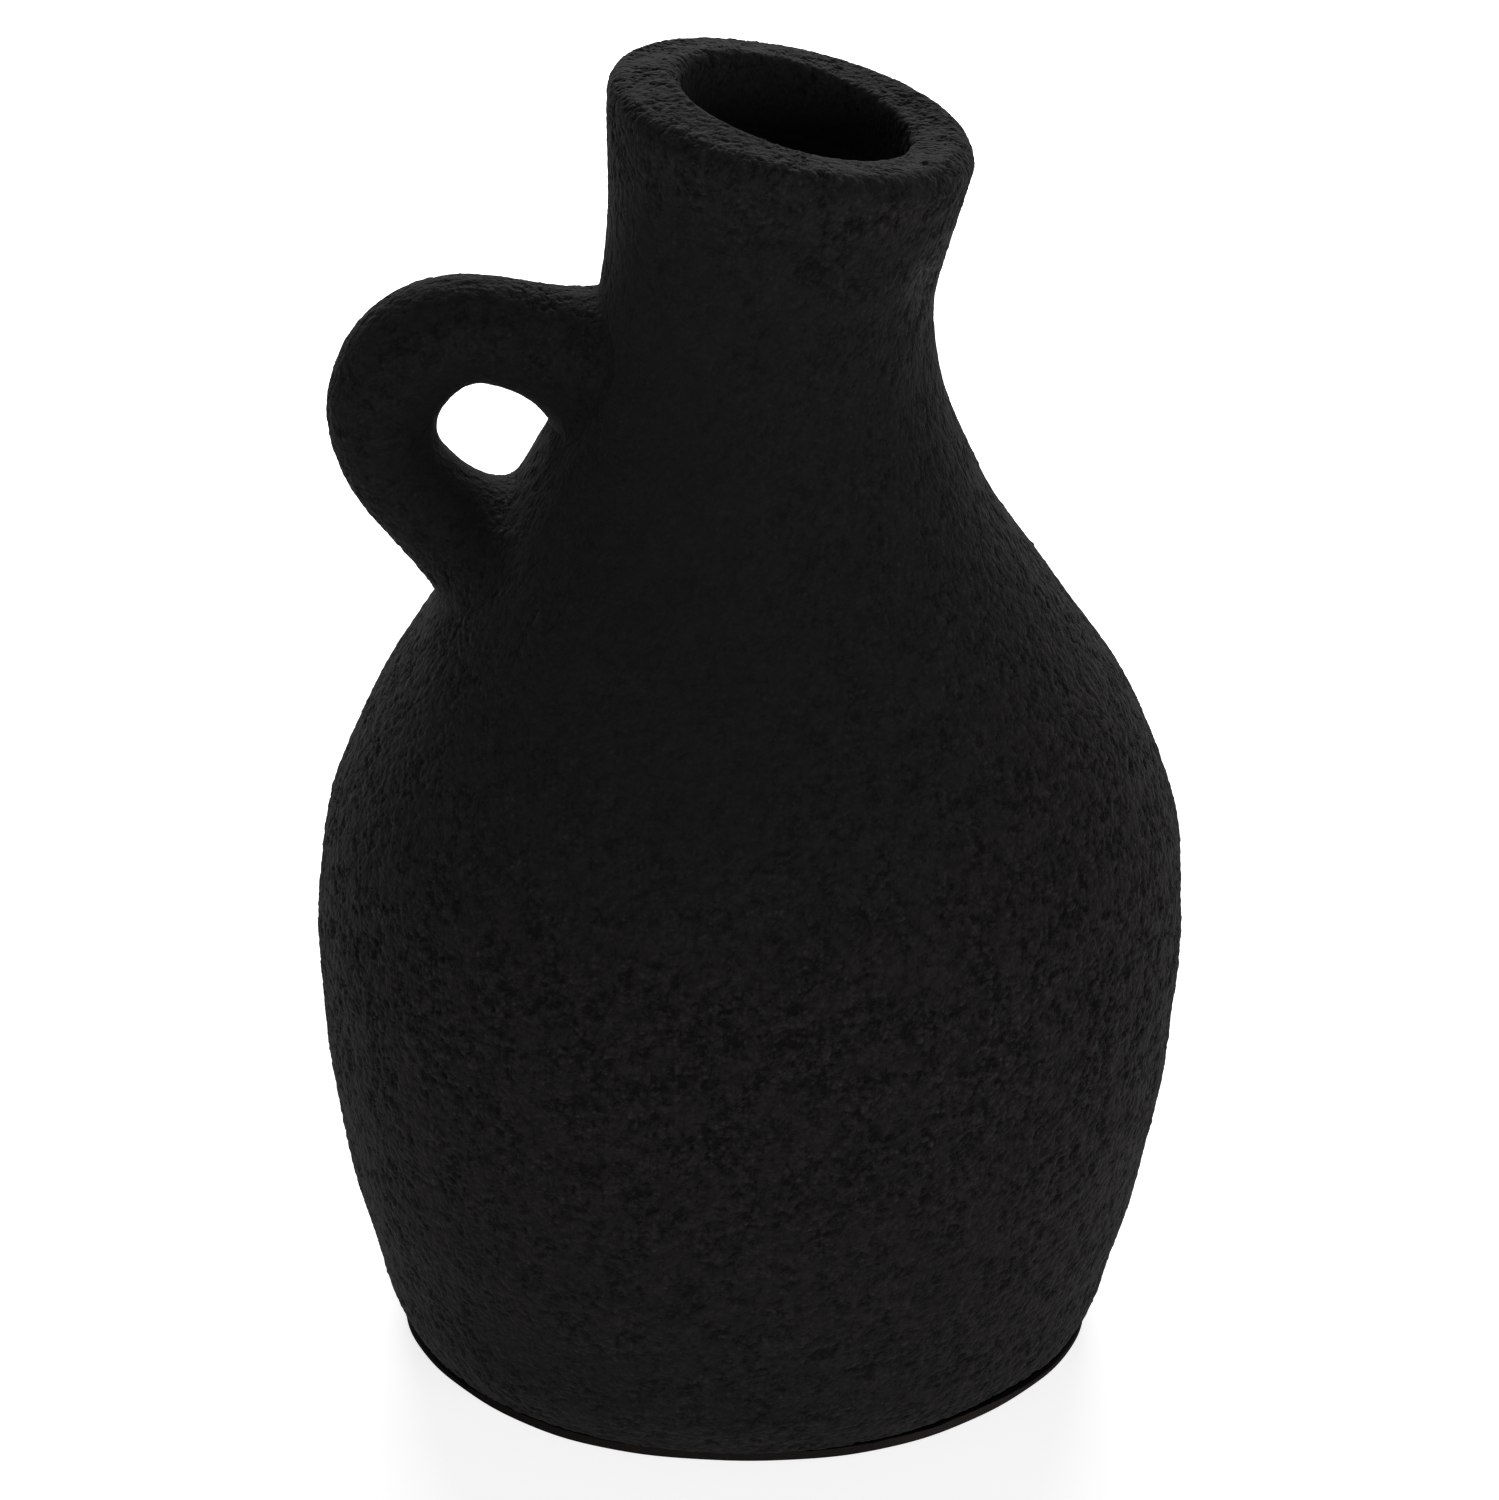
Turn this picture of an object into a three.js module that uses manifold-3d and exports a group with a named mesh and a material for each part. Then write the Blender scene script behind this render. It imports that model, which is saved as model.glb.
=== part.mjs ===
// Hand-built terracotta vase with a leaning neck, a thick slanted lip and one loop handle.
// Millimetres, +Z up. The origin is the middle of the face that rests on the table. The handle
// stands on the -X side, and the neck leans towards +X, where the lip is lowest.
import * as THREE from 'three';
import { mergeVertices } from 'three/addons/utils/BufferGeometryUtils.js';
import Module from 'manifold-3d';

// Heights of the pieces, from the table up
const PAD_THICKNESS = 3;
const FLOOR_THICKNESS = 10;
const LOWER_RING_HEIGHT = 65;
const BELLY_RING_HEIGHT = 72;
const SHOULDER_RING_HEIGHT = 50;
const NECK_RING_HEIGHT = 88;
const RIM_HEIGHT = 16.5;

// Widths of the body and the bore
const PAD_HALF_WIDTH = 82.3;
const PAD_HALF_DEPTH = 78;
const FOOT_RADIUS = 79.7;
const BELLY_RADIUS = 100.9;
const NECK_RADIUS = 37.7;
const LIP_RADIUS = 42.5;
const BORE_RADIUS = 26.9;
const WALL_THICKNESS = 9;

// Rise of the widest place above the belly ring's foot, and of the narrowest above the neck ring's
const WIDEST_RISE = 27;
const THROAT_RISE = 62;

// Sideways shift of the body and the neck, slant of the lip, and how much further the bore shifts
// and slants at the top
const BODY_SHIFT = 1.6;
const NECK_SHIFT = 10.4;
const LIP_ANGLE = THREE.MathUtils.degToRad(11.9);
const BORE_SHIFT = 0.9;
const BORE_EXTRA_ANGLE = THREE.MathUtils.degToRad(4.1);
const LIP_ROUNDING = 5;
const BORE_ROUNDING = 2.5;

// Handle: a round coil of clay bent into a loop, with a leg to the neck and one to the shoulder.
// Its middle is placed from the narrowest part of the neck.
const LOOP_RADIUS = 22.6;
const LOOP_OFFSET = 22.4;
const LOOP_DROP = 33.9;
const UPPER_LEG_ANGLE = THREE.MathUtils.degToRad(12);
const LOWER_LEG_ANGLE = THREE.MathUtils.degToRad(49);
const UPPER_ROOT_RADIUS = 15;
const UPPER_LEG_RADIUS = 12.5;
const BEND_RADIUS = 13.3;
const LOWER_LEG_RADIUS = 11.8;
const LOWER_ROOT_RADIUS = 13.4;

// Clearance between pieces that meet on a slanted or curved face
const LUTE_GAP = 0.3;

const SIDES = 60;
const COIL_SIDES = 22;

// Places worked out from the sizes: the seams, the widest and narrowest heights and the lip
const FLOOR_TOP = PAD_THICKNESS + FLOOR_THICKNESS;
const BELLY_SEAM = FLOOR_TOP + LOWER_RING_HEIGHT;
const SHOULDER_SEAM = BELLY_SEAM + BELLY_RING_HEIGHT;
const NECK_SEAM = SHOULDER_SEAM + SHOULDER_RING_HEIGHT;
const RIM_SEAM = NECK_SEAM + NECK_RING_HEIGHT;
const LIP_HEIGHT = RIM_SEAM + RIM_HEIGHT;
const LIP_EDGE = LIP_HEIGHT - LIP_ROUNDING;
const BELLY_HEIGHT = BELLY_SEAM + WIDEST_RISE;
const NECK_HEIGHT = NECK_SEAM + THROAT_RISE;

const wasm = await Module();
wasm.setup();

// Gives a smooth curve through [position, value] stations: a cubic between each two, whose slope
// at a station is that of the parabola through it and its neighbours.
function smoothCurve(stations) {
  const last = stations.length - 1;
  const spans = stations.slice(1).map(([at], i) => at - stations[i][0]);
  const slopes = stations.slice(1).map(([, value], i) => (value - stations[i][1]) / spans[i]);
  const tangents = stations.map((station, i) => {
    if (i === 0) return slopes[0];
    if (i === last) return slopes[last - 1];
    return (slopes[i - 1] * spans[i] + slopes[i] * spans[i - 1]) / (spans[i - 1] + spans[i]);
  });
  return (position) => {
    const at = THREE.MathUtils.clamp(position, stations[0][0], stations[last][0]);
    const next = stations.findIndex(([start], i) => i > 0 && at <= start);
    const i = next - 1;
    const t = (at - stations[i][0]) / spans[i];
    const rise = t * t * (3 - 2 * t);
    return stations[i][1] * (1 - rise) + stations[next][1] * rise
      + spans[i] * (tangents[i] * t * (1 - t) ** 2 - tangents[next] * t * t * (1 - t));
  };
}

const mix = (from, to, share) => from + (to - from) * share;

// Outer radius of the wall over its height. Each span rises between two driving sizes, through
// [share of the height, share of the radius] stations.
const FOOT_SPAN = [[0, 0], [0.06, 0.19], [0.19, 0.4], [0.46, 0.73], [0.755, 0.94], [1, 1]];
const SHOULDER_SPAN = [[0.16, 0.035], [0.32, 0.182], [0.51, 0.467], [0.7, 0.764], [0.86, 0.94], [1, 1]];
const LIP_SPAN = [[0.48, 0.33], [1, 1]];

function spanStations(span, low, high, start, end) {
  return span.map(([rise, share]) => [mix(low, high, rise), mix(start, end, share)]);
}

const outerRadius = smoothCurve([
  ...spanStations(FOOT_SPAN, PAD_THICKNESS, BELLY_HEIGHT, FOOT_RADIUS, BELLY_RADIUS),
  ...spanStations(SHOULDER_SPAN, BELLY_HEIGHT, NECK_HEIGHT, BELLY_RADIUS, NECK_RADIUS),
  ...spanStations(LIP_SPAN, NECK_HEIGHT, LIP_EDGE, NECK_RADIUS, LIP_RADIUS),
]);

// Sideways shift of the wall's middle: nearly none in the body, then the lean of the neck.
const LEAN_SPAN = [[0, 0.05], [0.35, 0.32], [0.65, 0.55], [1, 1]];
const middle = smoothCurve([
  [PAD_THICKNESS, 0],
  [BELLY_HEIGHT, 0.5 * BODY_SHIFT],
  [mix(BELLY_HEIGHT, NECK_SEAM, 0.55), BODY_SHIFT],
  ...spanStations(LEAN_SPAN, NECK_SEAM, LIP_EDGE, 0, NECK_SHIFT),
]);

// Slant of the wall's rings: level up to the neck's seam, then growing to the lip's slant.
const SLANT_SPAN = [[0, 0], [0.35, 0.24], [0.65, 0.73], [1, 1]];
const slant = smoothCurve(spanStations(SLANT_SPAN, NECK_SEAM, LIP_EDGE, 0, LIP_ANGLE));

// Thickness of the wall: even in the body, growing up the neck until the bore is straight.
function innerRadius(height) {
  const up = THREE.MathUtils.smoothstep(height, NECK_SEAM, NECK_HEIGHT);
  if (height >= NECK_HEIGHT) return BORE_RADIUS;
  return outerRadius(height) - mix(WALL_THICKNESS, NECK_RADIUS - BORE_RADIUS, up);
}

// A ring of the wall: its middle, its slant about the Y axis and its radius.
const ring = (x, z, tilt, radius) => ({ x, z, tilt, radius });
const outerRing = (height, grown = 0) =>
  ring(middle(height), height, slant(height), outerRadius(height) + grown);
const innerRing = (height) => ring(middle(height), height, slant(height), innerRadius(height));

function ringPoints({ x, z, tilt, radius }) {
  return Array.from({ length: SIDES }, (_, i) => {
    const turn = (2 * Math.PI * i) / SIDES;
    const across = radius * Math.cos(turn);
    return [x + across * Math.cos(tilt), radius * Math.sin(turn), z - across * Math.sin(tilt)];
  });
}

function closedGeometry(points, faces) {
  const geometry = new THREE.BufferGeometry();
  geometry.setAttribute('position', new THREE.Float32BufferAttribute(points.flat(), 3));
  geometry.setIndex(faces.flat());
  return geometry;
}

// Joins each two neighbouring loops of points by a band of triangles.
function bands(loops, sides, closed) {
  const faces = [];
  const count = closed ? loops.length : loops.length - 1;
  for (let row = 0; row < count; row++) {
    const next = (row + 1) % loops.length;
    for (let i = 0; i < sides; i++) {
      const j = (i + 1) % sides;
      const [a, b, c, d] = [row * sides + i, row * sides + j, next * sides + j, next * sides + i];
      faces.push([a, b, c], [a, c, d]);
    }
  }
  return faces;
}

// A hollow piece: its rings run up the outside and down the inside, back to the first.
function hollowSolid(rings) {
  const loops = rings.map(ringPoints);
  return closedGeometry(loops.flat(), bands(loops, SIDES, true));
}

// A filled piece: its loops run from a middle point at one end to a middle point at the other.
function filledSolid(loops, start, end) {
  const sides = loops[0].length;
  const points = [...loops.flat(), start, end];
  const faces = bands(loops, sides, false);
  const top = (loops.length - 1) * sides;
  for (let i = 0; i < sides; i++) {
    const j = (i + 1) % sides;
    faces.push([points.length - 2, j, i], [points.length - 1, top + i, top + j]);
  }
  return closedGeometry(points, faces);
}

function heightsBetween(low, high, steps) {
  return Array.from({ length: steps + 1 }, (_, i) => mix(low, high, i / steps));
}

// A ring of wall between two seams, with as many bands outside as inside.
function wallBetween(low, high, steps) {
  const heights = heightsBetween(low, high, steps);
  const outside = heights.map((height) => outerRing(height));
  const inside = heights.map(innerRing).reverse();
  return hollowSolid([...outside, ...inside]);
}

// Felt disc under the foot, cut by hand to a slight oval.
function basePad() {
  const loop = (height, trim) => Array.from({ length: SIDES }, (_, i) => {
    const turn = (2 * Math.PI * i) / SIDES;
    return [(PAD_HALF_WIDTH - trim) * Math.cos(turn), (PAD_HALF_DEPTH - trim) * Math.sin(turn), height];
  });
  const edge = 0.1 * PAD_THICKNESS;
  const loops = [loop(0, 0), loop(PAD_THICKNESS - edge, 0), loop(PAD_THICKNESS, edge)];
  return filledSolid(loops, [0, 0, 0], [0, 0, PAD_THICKNESS]);
}

// Clay disc with the vase's rounded foot edge.
function floorSlab() {
  const heights = heightsBetween(PAD_THICKNESS, FLOOR_TOP, 5);
  const loops = heights.map((height) => ringPoints(outerRing(height)));
  return filledSolid(loops, [0, 0, PAD_THICKNESS], [middle(FLOOR_TOP), 0, FLOOR_TOP]);
}

// Thick lip: a rounded outer edge, a nearly flat top and a bore that slants more than the edge.
const RIM_BASE = RIM_SEAM + LUTE_GAP;
const ROUNDING_STEPS = 4;

function rim() {
  const turns = heightsBetween(0, Math.PI / 2, ROUNDING_STEPS);
  const side = heightsBetween(RIM_BASE, LIP_EDGE, 3).map((height) => outerRing(height));
  const outerEdge = turns.slice(1).map((turn) => ring(
    middle(LIP_EDGE), LIP_EDGE + LIP_ROUNDING * Math.sin(turn), slant(LIP_EDGE),
    LIP_RADIUS - LIP_ROUNDING * (1 - Math.cos(turn)),
  ));
  const boreEdge = turns.map((turn) => ring(
    middle(LIP_EDGE) + BORE_SHIFT, LIP_HEIGHT - BORE_ROUNDING * (1 - Math.cos(turn)),
    LIP_ANGLE + BORE_EXTRA_ANGLE,
    BORE_RADIUS + BORE_ROUNDING * (1 - Math.sin(turn)),
  ));
  return hollowSolid([...side, ...outerEdge, ...boreEdge, innerRing(RIM_BASE)]);
}

function toManifold(geometry) {
  const bare = geometry.clone();
  bare.deleteAttribute('normal');
  bare.deleteAttribute('uv');
  const merged = mergeVertices(bare);
  return new wasm.Manifold(new wasm.Mesh({
    numProp: 3,
    vertProperties: new Float32Array(merged.attributes.position.array),
    triVerts: new Uint32Array(merged.index.array),
  }));
}

function fromManifold(solid) {
  const mesh = solid.getMesh();
  const geometry = new THREE.BufferGeometry();
  geometry.setAttribute('position', new THREE.BufferAttribute(new Float32Array(mesh.vertProperties), 3));
  geometry.setIndex(new THREE.BufferAttribute(new Uint32Array(mesh.triVerts), 1));
  return geometry;
}

// Middle line of the handle in the XZ plane, from inside the neck, round the loop, to inside the
// shoulder. Each station has its place and its direction.
const LEG_STEPS = 6;
const ARC_STEPS = 16;

function handleLine() {
  const centre = new THREE.Vector2(-NECK_RADIUS - LOOP_OFFSET, NECK_HEIGHT - LOOP_DROP);
  const start = Math.PI / 2 - UPPER_LEG_ANGLE;
  const end = Math.PI * 3 / 2 - LOWER_LEG_ANGLE;
  const onArc = (turn) => ({
    place: new THREE.Vector2(Math.cos(turn), Math.sin(turn)).multiplyScalar(LOOP_RADIUS).add(centre),
    along: new THREE.Vector2(-Math.sin(turn), Math.cos(turn)),
  });
  const onLeg = ({ place, along }, distance) => ({
    place: place.clone().addScaledVector(along, distance),
    along,
  });
  const arc = heightsBetween(start, end, ARC_STEPS).map(onArc);
  const upperLength = LOOP_OFFSET + UPPER_ROOT_RADIUS;
  const lowerLength = LOOP_RADIUS + 2 * LOWER_ROOT_RADIUS;
  const upper = heightsBetween(-upperLength, 0, LEG_STEPS).map((far) => onLeg(arc[0], far));
  const lower = heightsBetween(0, lowerLength, LEG_STEPS).map((far) => onLeg(arc[ARC_STEPS], far));
  return [...upper, ...arc.slice(1, -1), ...lower];
}

// Thickness of the coil along its line, by station: swollen on the bend, flared at both roots.
const coilRadius = smoothCurve([
  [0, UPPER_ROOT_RADIUS],
  [LEG_STEPS, UPPER_LEG_RADIUS],
  [LEG_STEPS + 0.45 * ARC_STEPS, BEND_RADIUS],
  [LEG_STEPS + ARC_STEPS, LOWER_LEG_RADIUS],
  [LEG_STEPS + ARC_STEPS + LEG_STEPS, LOWER_ROOT_RADIUS],
]);

function coilLoop({ place, along }, station) {
  return Array.from({ length: COIL_SIDES }, (_, i) => {
    const turn = (2 * Math.PI * i) / COIL_SIDES;
    const across = coilRadius(station) * Math.cos(turn);
    const sideways = coilRadius(station) * Math.sin(turn);
    return [place.x + across * along.y, sideways, place.y - across * along.x];
  });
}

// The coil is trimmed where it meets the outside of the neck and the shoulder.
function handle() {
  const line = handleLine();
  const [first, last] = [line[0].place, line[line.length - 1].place];
  const coil = filledSolid(line.map(coilLoop), [first.x, 0, first.y], [last.x, 0, last.y]);
  const heights = heightsBetween(BELLY_HEIGHT, RIM_SEAM, 30);
  const loops = heights.map((height) => ringPoints(outerRing(height, LUTE_GAP)));
  const filled = filledSolid(loops, [middle(BELLY_HEIGHT), 0, BELLY_HEIGHT], [middle(RIM_SEAM), 0, RIM_SEAM]);
  return fromManifold(toManifold(coil).subtract(toManifold(filled)));
}

const matt = (tint) => new THREE.MeshStandardMaterial({ color: tint, roughness: 0.92, metalness: 0 });
const felt = matt(0x1e1b1a);
const bodyClay = matt(0x161415);
const rimClay = matt(0x191718);
const handleClay = matt(0x141314);

const vase = new THREE.Group();

function add(name, geometry, material) {
  geometry.computeVertexNormals();
  const mesh = new THREE.Mesh(geometry, material);
  mesh.name = name;
  vase.add(mesh);
}

add('base_pad', basePad(), felt);
add('floor_slab', floorSlab(), bodyClay);
add('lower_wall', wallBetween(FLOOR_TOP, BELLY_SEAM, 6), bodyClay);
add('belly_wall', wallBetween(BELLY_SEAM, SHOULDER_SEAM, 7), bodyClay);
add('shoulder_wall', wallBetween(SHOULDER_SEAM, NECK_SEAM, 5), bodyClay);
add('neck', wallBetween(NECK_SEAM, RIM_SEAM, 9), bodyClay);
add('rim', rim(), rimClay);
add('handle', handle(), handleClay);

export default vase;
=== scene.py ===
"""Looks of a hand-built vase in coarse, matt, near-black fired clay.

The vase has a round belly, a neck that leans to the right, a thick slanted lip and one loop handle. Each
clay piece is a fine closed mesh on the wall's own rule, and a tree of geometry nodes raises its patches,
crumbs, pits and nubs. A disc of dark felt lies under the foot.
"""
import logging
import math
from collections.abc import Mapping, Sequence
from dataclasses import asdict, dataclass, fields
from enum import Enum
from functools import cached_property, partial, reduce

import bpy
import numpy as np
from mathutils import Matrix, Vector


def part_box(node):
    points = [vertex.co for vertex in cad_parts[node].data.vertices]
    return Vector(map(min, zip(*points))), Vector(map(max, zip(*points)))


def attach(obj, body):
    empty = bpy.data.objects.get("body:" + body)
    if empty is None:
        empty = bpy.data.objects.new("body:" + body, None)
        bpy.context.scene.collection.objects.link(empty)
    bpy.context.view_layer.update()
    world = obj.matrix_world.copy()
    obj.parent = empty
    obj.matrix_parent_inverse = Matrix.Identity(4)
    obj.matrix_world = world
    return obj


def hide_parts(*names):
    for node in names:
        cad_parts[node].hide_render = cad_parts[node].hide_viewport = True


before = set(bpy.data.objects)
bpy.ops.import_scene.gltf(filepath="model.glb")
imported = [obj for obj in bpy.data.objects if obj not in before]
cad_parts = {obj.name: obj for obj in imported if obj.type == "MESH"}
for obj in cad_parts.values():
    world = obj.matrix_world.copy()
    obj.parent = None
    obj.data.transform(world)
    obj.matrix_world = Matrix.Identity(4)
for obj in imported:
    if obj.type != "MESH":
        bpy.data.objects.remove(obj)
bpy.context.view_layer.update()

LOG = logging.getLogger("vase")
PHOTO_HEIGHT_PX = 1500
SENSOR_WIDTH = 36.0
BODY = "root"
SHARP_ANGLE = math.radians(60)

Pair = tuple[float, float]
Triple = tuple[float, float, float]
Station = Pair
Colour = Triple
Place = Triple
Socket = bpy.types.NodeSocket


def mix(start: float, end: float, share: float) -> float:
    """Gives the value at a share of the way from start to end."""
    return start + (end - start) * share


def smooth_step(values: np.ndarray, low: float, high: float) -> np.ndarray:
    """Gives 0 below low, 1 above high and a smooth rise between them."""
    share = np.clip((values - low) / (high - low), 0.0, 1.0)
    return share * share * (3 - 2 * share)


def unit(vectors: np.ndarray) -> np.ndarray:
    """Gives the vectors of an array's last axis at length 1."""
    return vectors / np.maximum(np.linalg.norm(vectors, axis=-1, keepdims=True), 1e-12)


@dataclass(frozen=True)
class SmoothCurve:
    """A curve through stations: a cubic between each two, with parabola slopes at the stations.

    Args:
        stations: (position, value) pairs in rising order.
    """

    stations: tuple[Station, ...]

    def __call__(self, position: np.ndarray | float) -> np.ndarray:
        """Gives the curve's value, held at the ends.

        Args:
            position: one position or many.

        Returns:
            The value at each.
        """
        at, value = np.array(self.stations).T
        spans = np.diff(at)
        slopes = np.diff(value) / spans
        inner = (slopes[:-1] * spans[1:] + slopes[1:] * spans[:-1]) / (spans[:-1] + spans[1:])
        tangents = np.concatenate(([slopes[0]], inner, [slopes[-1]]))
        position = np.clip(np.asarray(position, float), at[0], at[-1])
        i = np.clip(np.searchsorted(at, position) - 1, 0, len(spans) - 1)
        t = (position - at[i]) / spans[i]
        rise = t * t * (3 - 2 * t)
        bend = tangents[i] * t * (1 - t) ** 2 - tangents[i + 1] * t * t * (1 - t)
        return value[i] * (1 - rise) + value[i + 1] * rise + spans[i] * bend


def span_stations(span: Sequence[Station], start: Station, end: Station) -> list[Station]:
    """Turns (share of the height, share of the change) pairs into stations between two others."""
    return [(mix(start[0], end[0], rise), mix(start[1], end[1], share)) for rise, share in span]


def turn_from(start: np.ndarray | float, turn: np.ndarray) -> np.ndarray:
    """The angle from start to each turn, the short way round."""
    return (turn - start + math.pi) % (2 * math.pi) - math.pi


@dataclass(frozen=True)
class Dent:
    """A shallow hollow that a finger left in the wall.

    Args:
        turn: its angle round the wall.
        height: the height of its middle.
        width: how far it reaches round the wall, in radians.
        rise: how far it reaches up and down.
        depth: how deep it is.
    """

    turn: float
    height: float
    width: float
    rise: float
    depth: float

    def sink(self, height: np.ndarray, turn: np.ndarray) -> np.ndarray:
        """How deep the wall is pressed in at each height and angle."""
        away = turn_from(self.turn, turn)
        return self.depth * np.exp(-(away / self.width) ** 2 - ((height - self.height) / self.rise) ** 2)


@dataclass(frozen=True)
class Wall:
    """The rule that the whole wall follows: radius, middle and slant of its rings.

    Args:
        pad_top: height of the felt's upper face, where the foot starts.
        neck_seam: height of the seam between the shoulder and the neck.
        foot_radius: outer radius at the foot.
        belly_radius: outer radius where it is widest.
        belly_height: height of the widest place.
        neck_radius: outer radius where it is narrowest.
        neck_height: height of the narrowest place.
        rim_seam: height of the seam between the neck and the lip's coil.
        lip_radius: outer radius of the lip.
        lip_edge: height at which the lip starts to round over.
        bore_radius: radius of the mouth.
        thickness: thickness of the wall up to the neck.
        body_shift: sideways shift of the belly.
        neck_shift: sideways shift of the lip.
        lip_angle: slant of the lip.
        wave_height: height of the low waves that the hands left.
        wave_length: length of those waves, up the wall.
        wave_drift: how far they climb and fall round the wall, as an angle of the wave.
        wave_turn: how far round the climb starts.
        foot_oval: how much wider and less deep than round the foot is.
        foot_height: height at which that has faded out.
        lip_square: how far the lip is pressed in at its front, its back and both sides.
        dents: the shallow hollows.
    """

    pad_top: float
    neck_seam: float
    foot_radius: float = 0.0797
    belly_radius: float = 0.1009
    belly_height: float = 0.105
    neck_radius: float = 0.0377
    neck_height: float = 0.262
    rim_seam: float = 0.288
    lip_radius: float = 0.0425
    lip_edge: float = 0.2995
    bore_radius: float = 0.0269
    thickness: float = 0.009
    body_shift: float = 0.0016
    neck_shift: float = 0.0104
    lip_angle: float = math.radians(11.9)
    wave_height: float = 0.00016
    wave_length: float = 0.031
    wave_drift: float = 1.4
    wave_turn: float = 0.6
    foot_oval: float = 0.0006
    foot_height: float = 0.024
    lip_square: float = 0.0003
    dents: tuple[Dent, ...] = (
        Dent(math.radians(-26), 0.2750, 0.18, 0.0060, 0.0017),
        Dent(math.radians(-24), 0.248, 0.20, 0.009, 0.0009),
        Dent(math.radians(-158), 0.231, 0.10, 0.009, 0.0007),
        Dent(math.radians(180), 0.196, 0.45, 0.016, 0.0004),
        Dent(math.radians(180), 0.172, 0.40, 0.010, 0.0005),
    )

    @cached_property
    def radius(self) -> SmoothCurve:
        """Outer radius over the height."""
        foot, belly = (self.pad_top, self.foot_radius), (self.belly_height, self.belly_radius)
        neck, lip = (self.neck_height, self.neck_radius), (self.lip_edge, self.lip_radius)
        lower = [(0, 0.035), (0.06, 0.19), (0.19, 0.4), (0.46, 0.73), (0.755, 0.94), (1, 1)]
        shoulder = [(0.16, 0.035), (0.32, 0.182), (0.51, 0.467), (0.7, 0.764), (0.86, 0.94), (1, 1)]
        flare = [(0.48, 0.33), (1, 1)]
        return SmoothCurve((
            *span_stations(lower, foot, belly),
            *span_stations(shoulder, belly, neck),
            *span_stations(flare, neck, lip),
        ))

    @cached_property
    def middle(self) -> SmoothCurve:
        """Sideways shift of the rings' middle over the height."""
        belly_share, full_from = 0.7, 0.55
        lean = [(0, 0.05), (0.35, 0.32), (0.65, 0.55), (1, 1)]
        return SmoothCurve((
            (self.pad_top, 0.0),
            (self.belly_height, belly_share * self.body_shift),
            (mix(self.belly_height, self.neck_seam, full_from), self.body_shift),
            *span_stations(lean, (self.neck_seam, 0.0), (self.lip_edge, self.neck_shift)),
        ))

    @cached_property
    def slant(self) -> SmoothCurve:
        """Slant of the rings about the Y axis over the height."""
        lean = [(0, 0), (0.35, 0.24), (0.65, 0.73), (1, 1)]
        seam, lip = (self.neck_seam, 0.0), (self.lip_edge, self.lip_angle)
        return SmoothCurve(tuple(span_stations(lean, seam, lip)))

    def inner_radius(self, height: np.ndarray) -> np.ndarray:
        """Radius of the hollow: an even wall below, a straight bore at the top.

        Args:
            height: one height or many.

        Returns:
            The radius at each.
        """
        grown = smooth_step(height, self.neck_seam, self.neck_height)
        hollow = self.radius(height) - mix(self.thickness, self.neck_radius - self.bore_radius, grown)
        return np.where(height >= self.neck_height, self.bore_radius, hollow)

    def worked_radius(self, height: np.ndarray, turn: np.ndarray) -> np.ndarray:
        """Outer radius, with the low waves and dents that the hands left.

        Args:
            height: the heights, one for each row.
            turn: the angles, one for each column.

        Returns:
            The radius at each height and angle.
        """
        climb = self.wave_drift * np.sin(turn + self.wave_turn)
        wave = self.wave_height * np.sin(height * (2 * math.pi / self.wave_length) + climb)
        oval = self.foot_oval * np.cos(2 * turn) * (1 - smooth_step(height, self.pad_top, self.foot_height))
        square = self.lip_square * np.cos(4 * turn) * smooth_step(height, self.neck_height, self.lip_edge)
        dents = sum(dent.sink(height, turn) for dent in self.dents)
        return self.radius(height) + wave + oval - square - dents

    def outside(self, height: np.ndarray, turn: np.ndarray) -> np.ndarray:
        """Points of the outer face, for heights by rows and turns by columns."""
        radius = self.worked_radius(height[:, None], turn)
        return ring_points(self.middle(height), height, self.slant(height), radius, turn)

    def inside(self, height: np.ndarray, turn: np.ndarray) -> np.ndarray:
        """Points of the inner face, for heights by rows and turns by columns."""
        radius = self.inner_radius(height)[:, None]
        return ring_points(self.middle(height), height, self.slant(height), radius, turn)

    def clearance(self, points: np.ndarray) -> np.ndarray:
        """How far points lie from the outer face, its waves and dents left out.

        Args:
            points: the points, with X, Y and Z along the last axis.

        Returns:
            The distance of each, negative inside the wall.
        """
        rounds, step = 4, 0.0005
        height = points[..., 2]
        for _ in range(rounds):
            height = points[..., 2] + (points[..., 0] - self.middle(height)) * np.tan(self.slant(height))
        across = (points[..., 0] - self.middle(height)) / np.cos(self.slant(height))
        steepness = (self.radius(height + step) - self.radius(height - step)) / (2 * step)
        return (np.hypot(across, points[..., 1]) - self.radius(height)) / np.hypot(1, steepness)


def ring_points(
    middle: np.ndarray, height: np.ndarray, tilt: np.ndarray, radius: np.ndarray, turn: np.ndarray
) -> np.ndarray:
    """Points of slanted rings.

    Args:
        middle: the rings' middle in X, one value a row, as the next two are.
        height: the rings' middle in Z.
        tilt: the rings' slant about the Y axis.
        radius: the rings' radius, by rows and columns, or one value for all.
        turn: the angles of the columns.

    Returns:
        An array of rows by columns by 3.
    """
    middle, height, tilt = (np.asarray(value, float)[..., None] for value in (middle, height, tilt))
    across, deep = radius * np.cos(turn), radius * np.sin(turn)
    spread = np.broadcast_arrays(middle + across * np.cos(tilt), deep, height - across * np.sin(tilt))
    return np.stack(spread, axis=-1)


def turns(columns: int) -> np.ndarray:
    """Angles of evenly spread columns, once round."""
    return np.arange(columns) * (2 * math.pi / columns)


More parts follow.
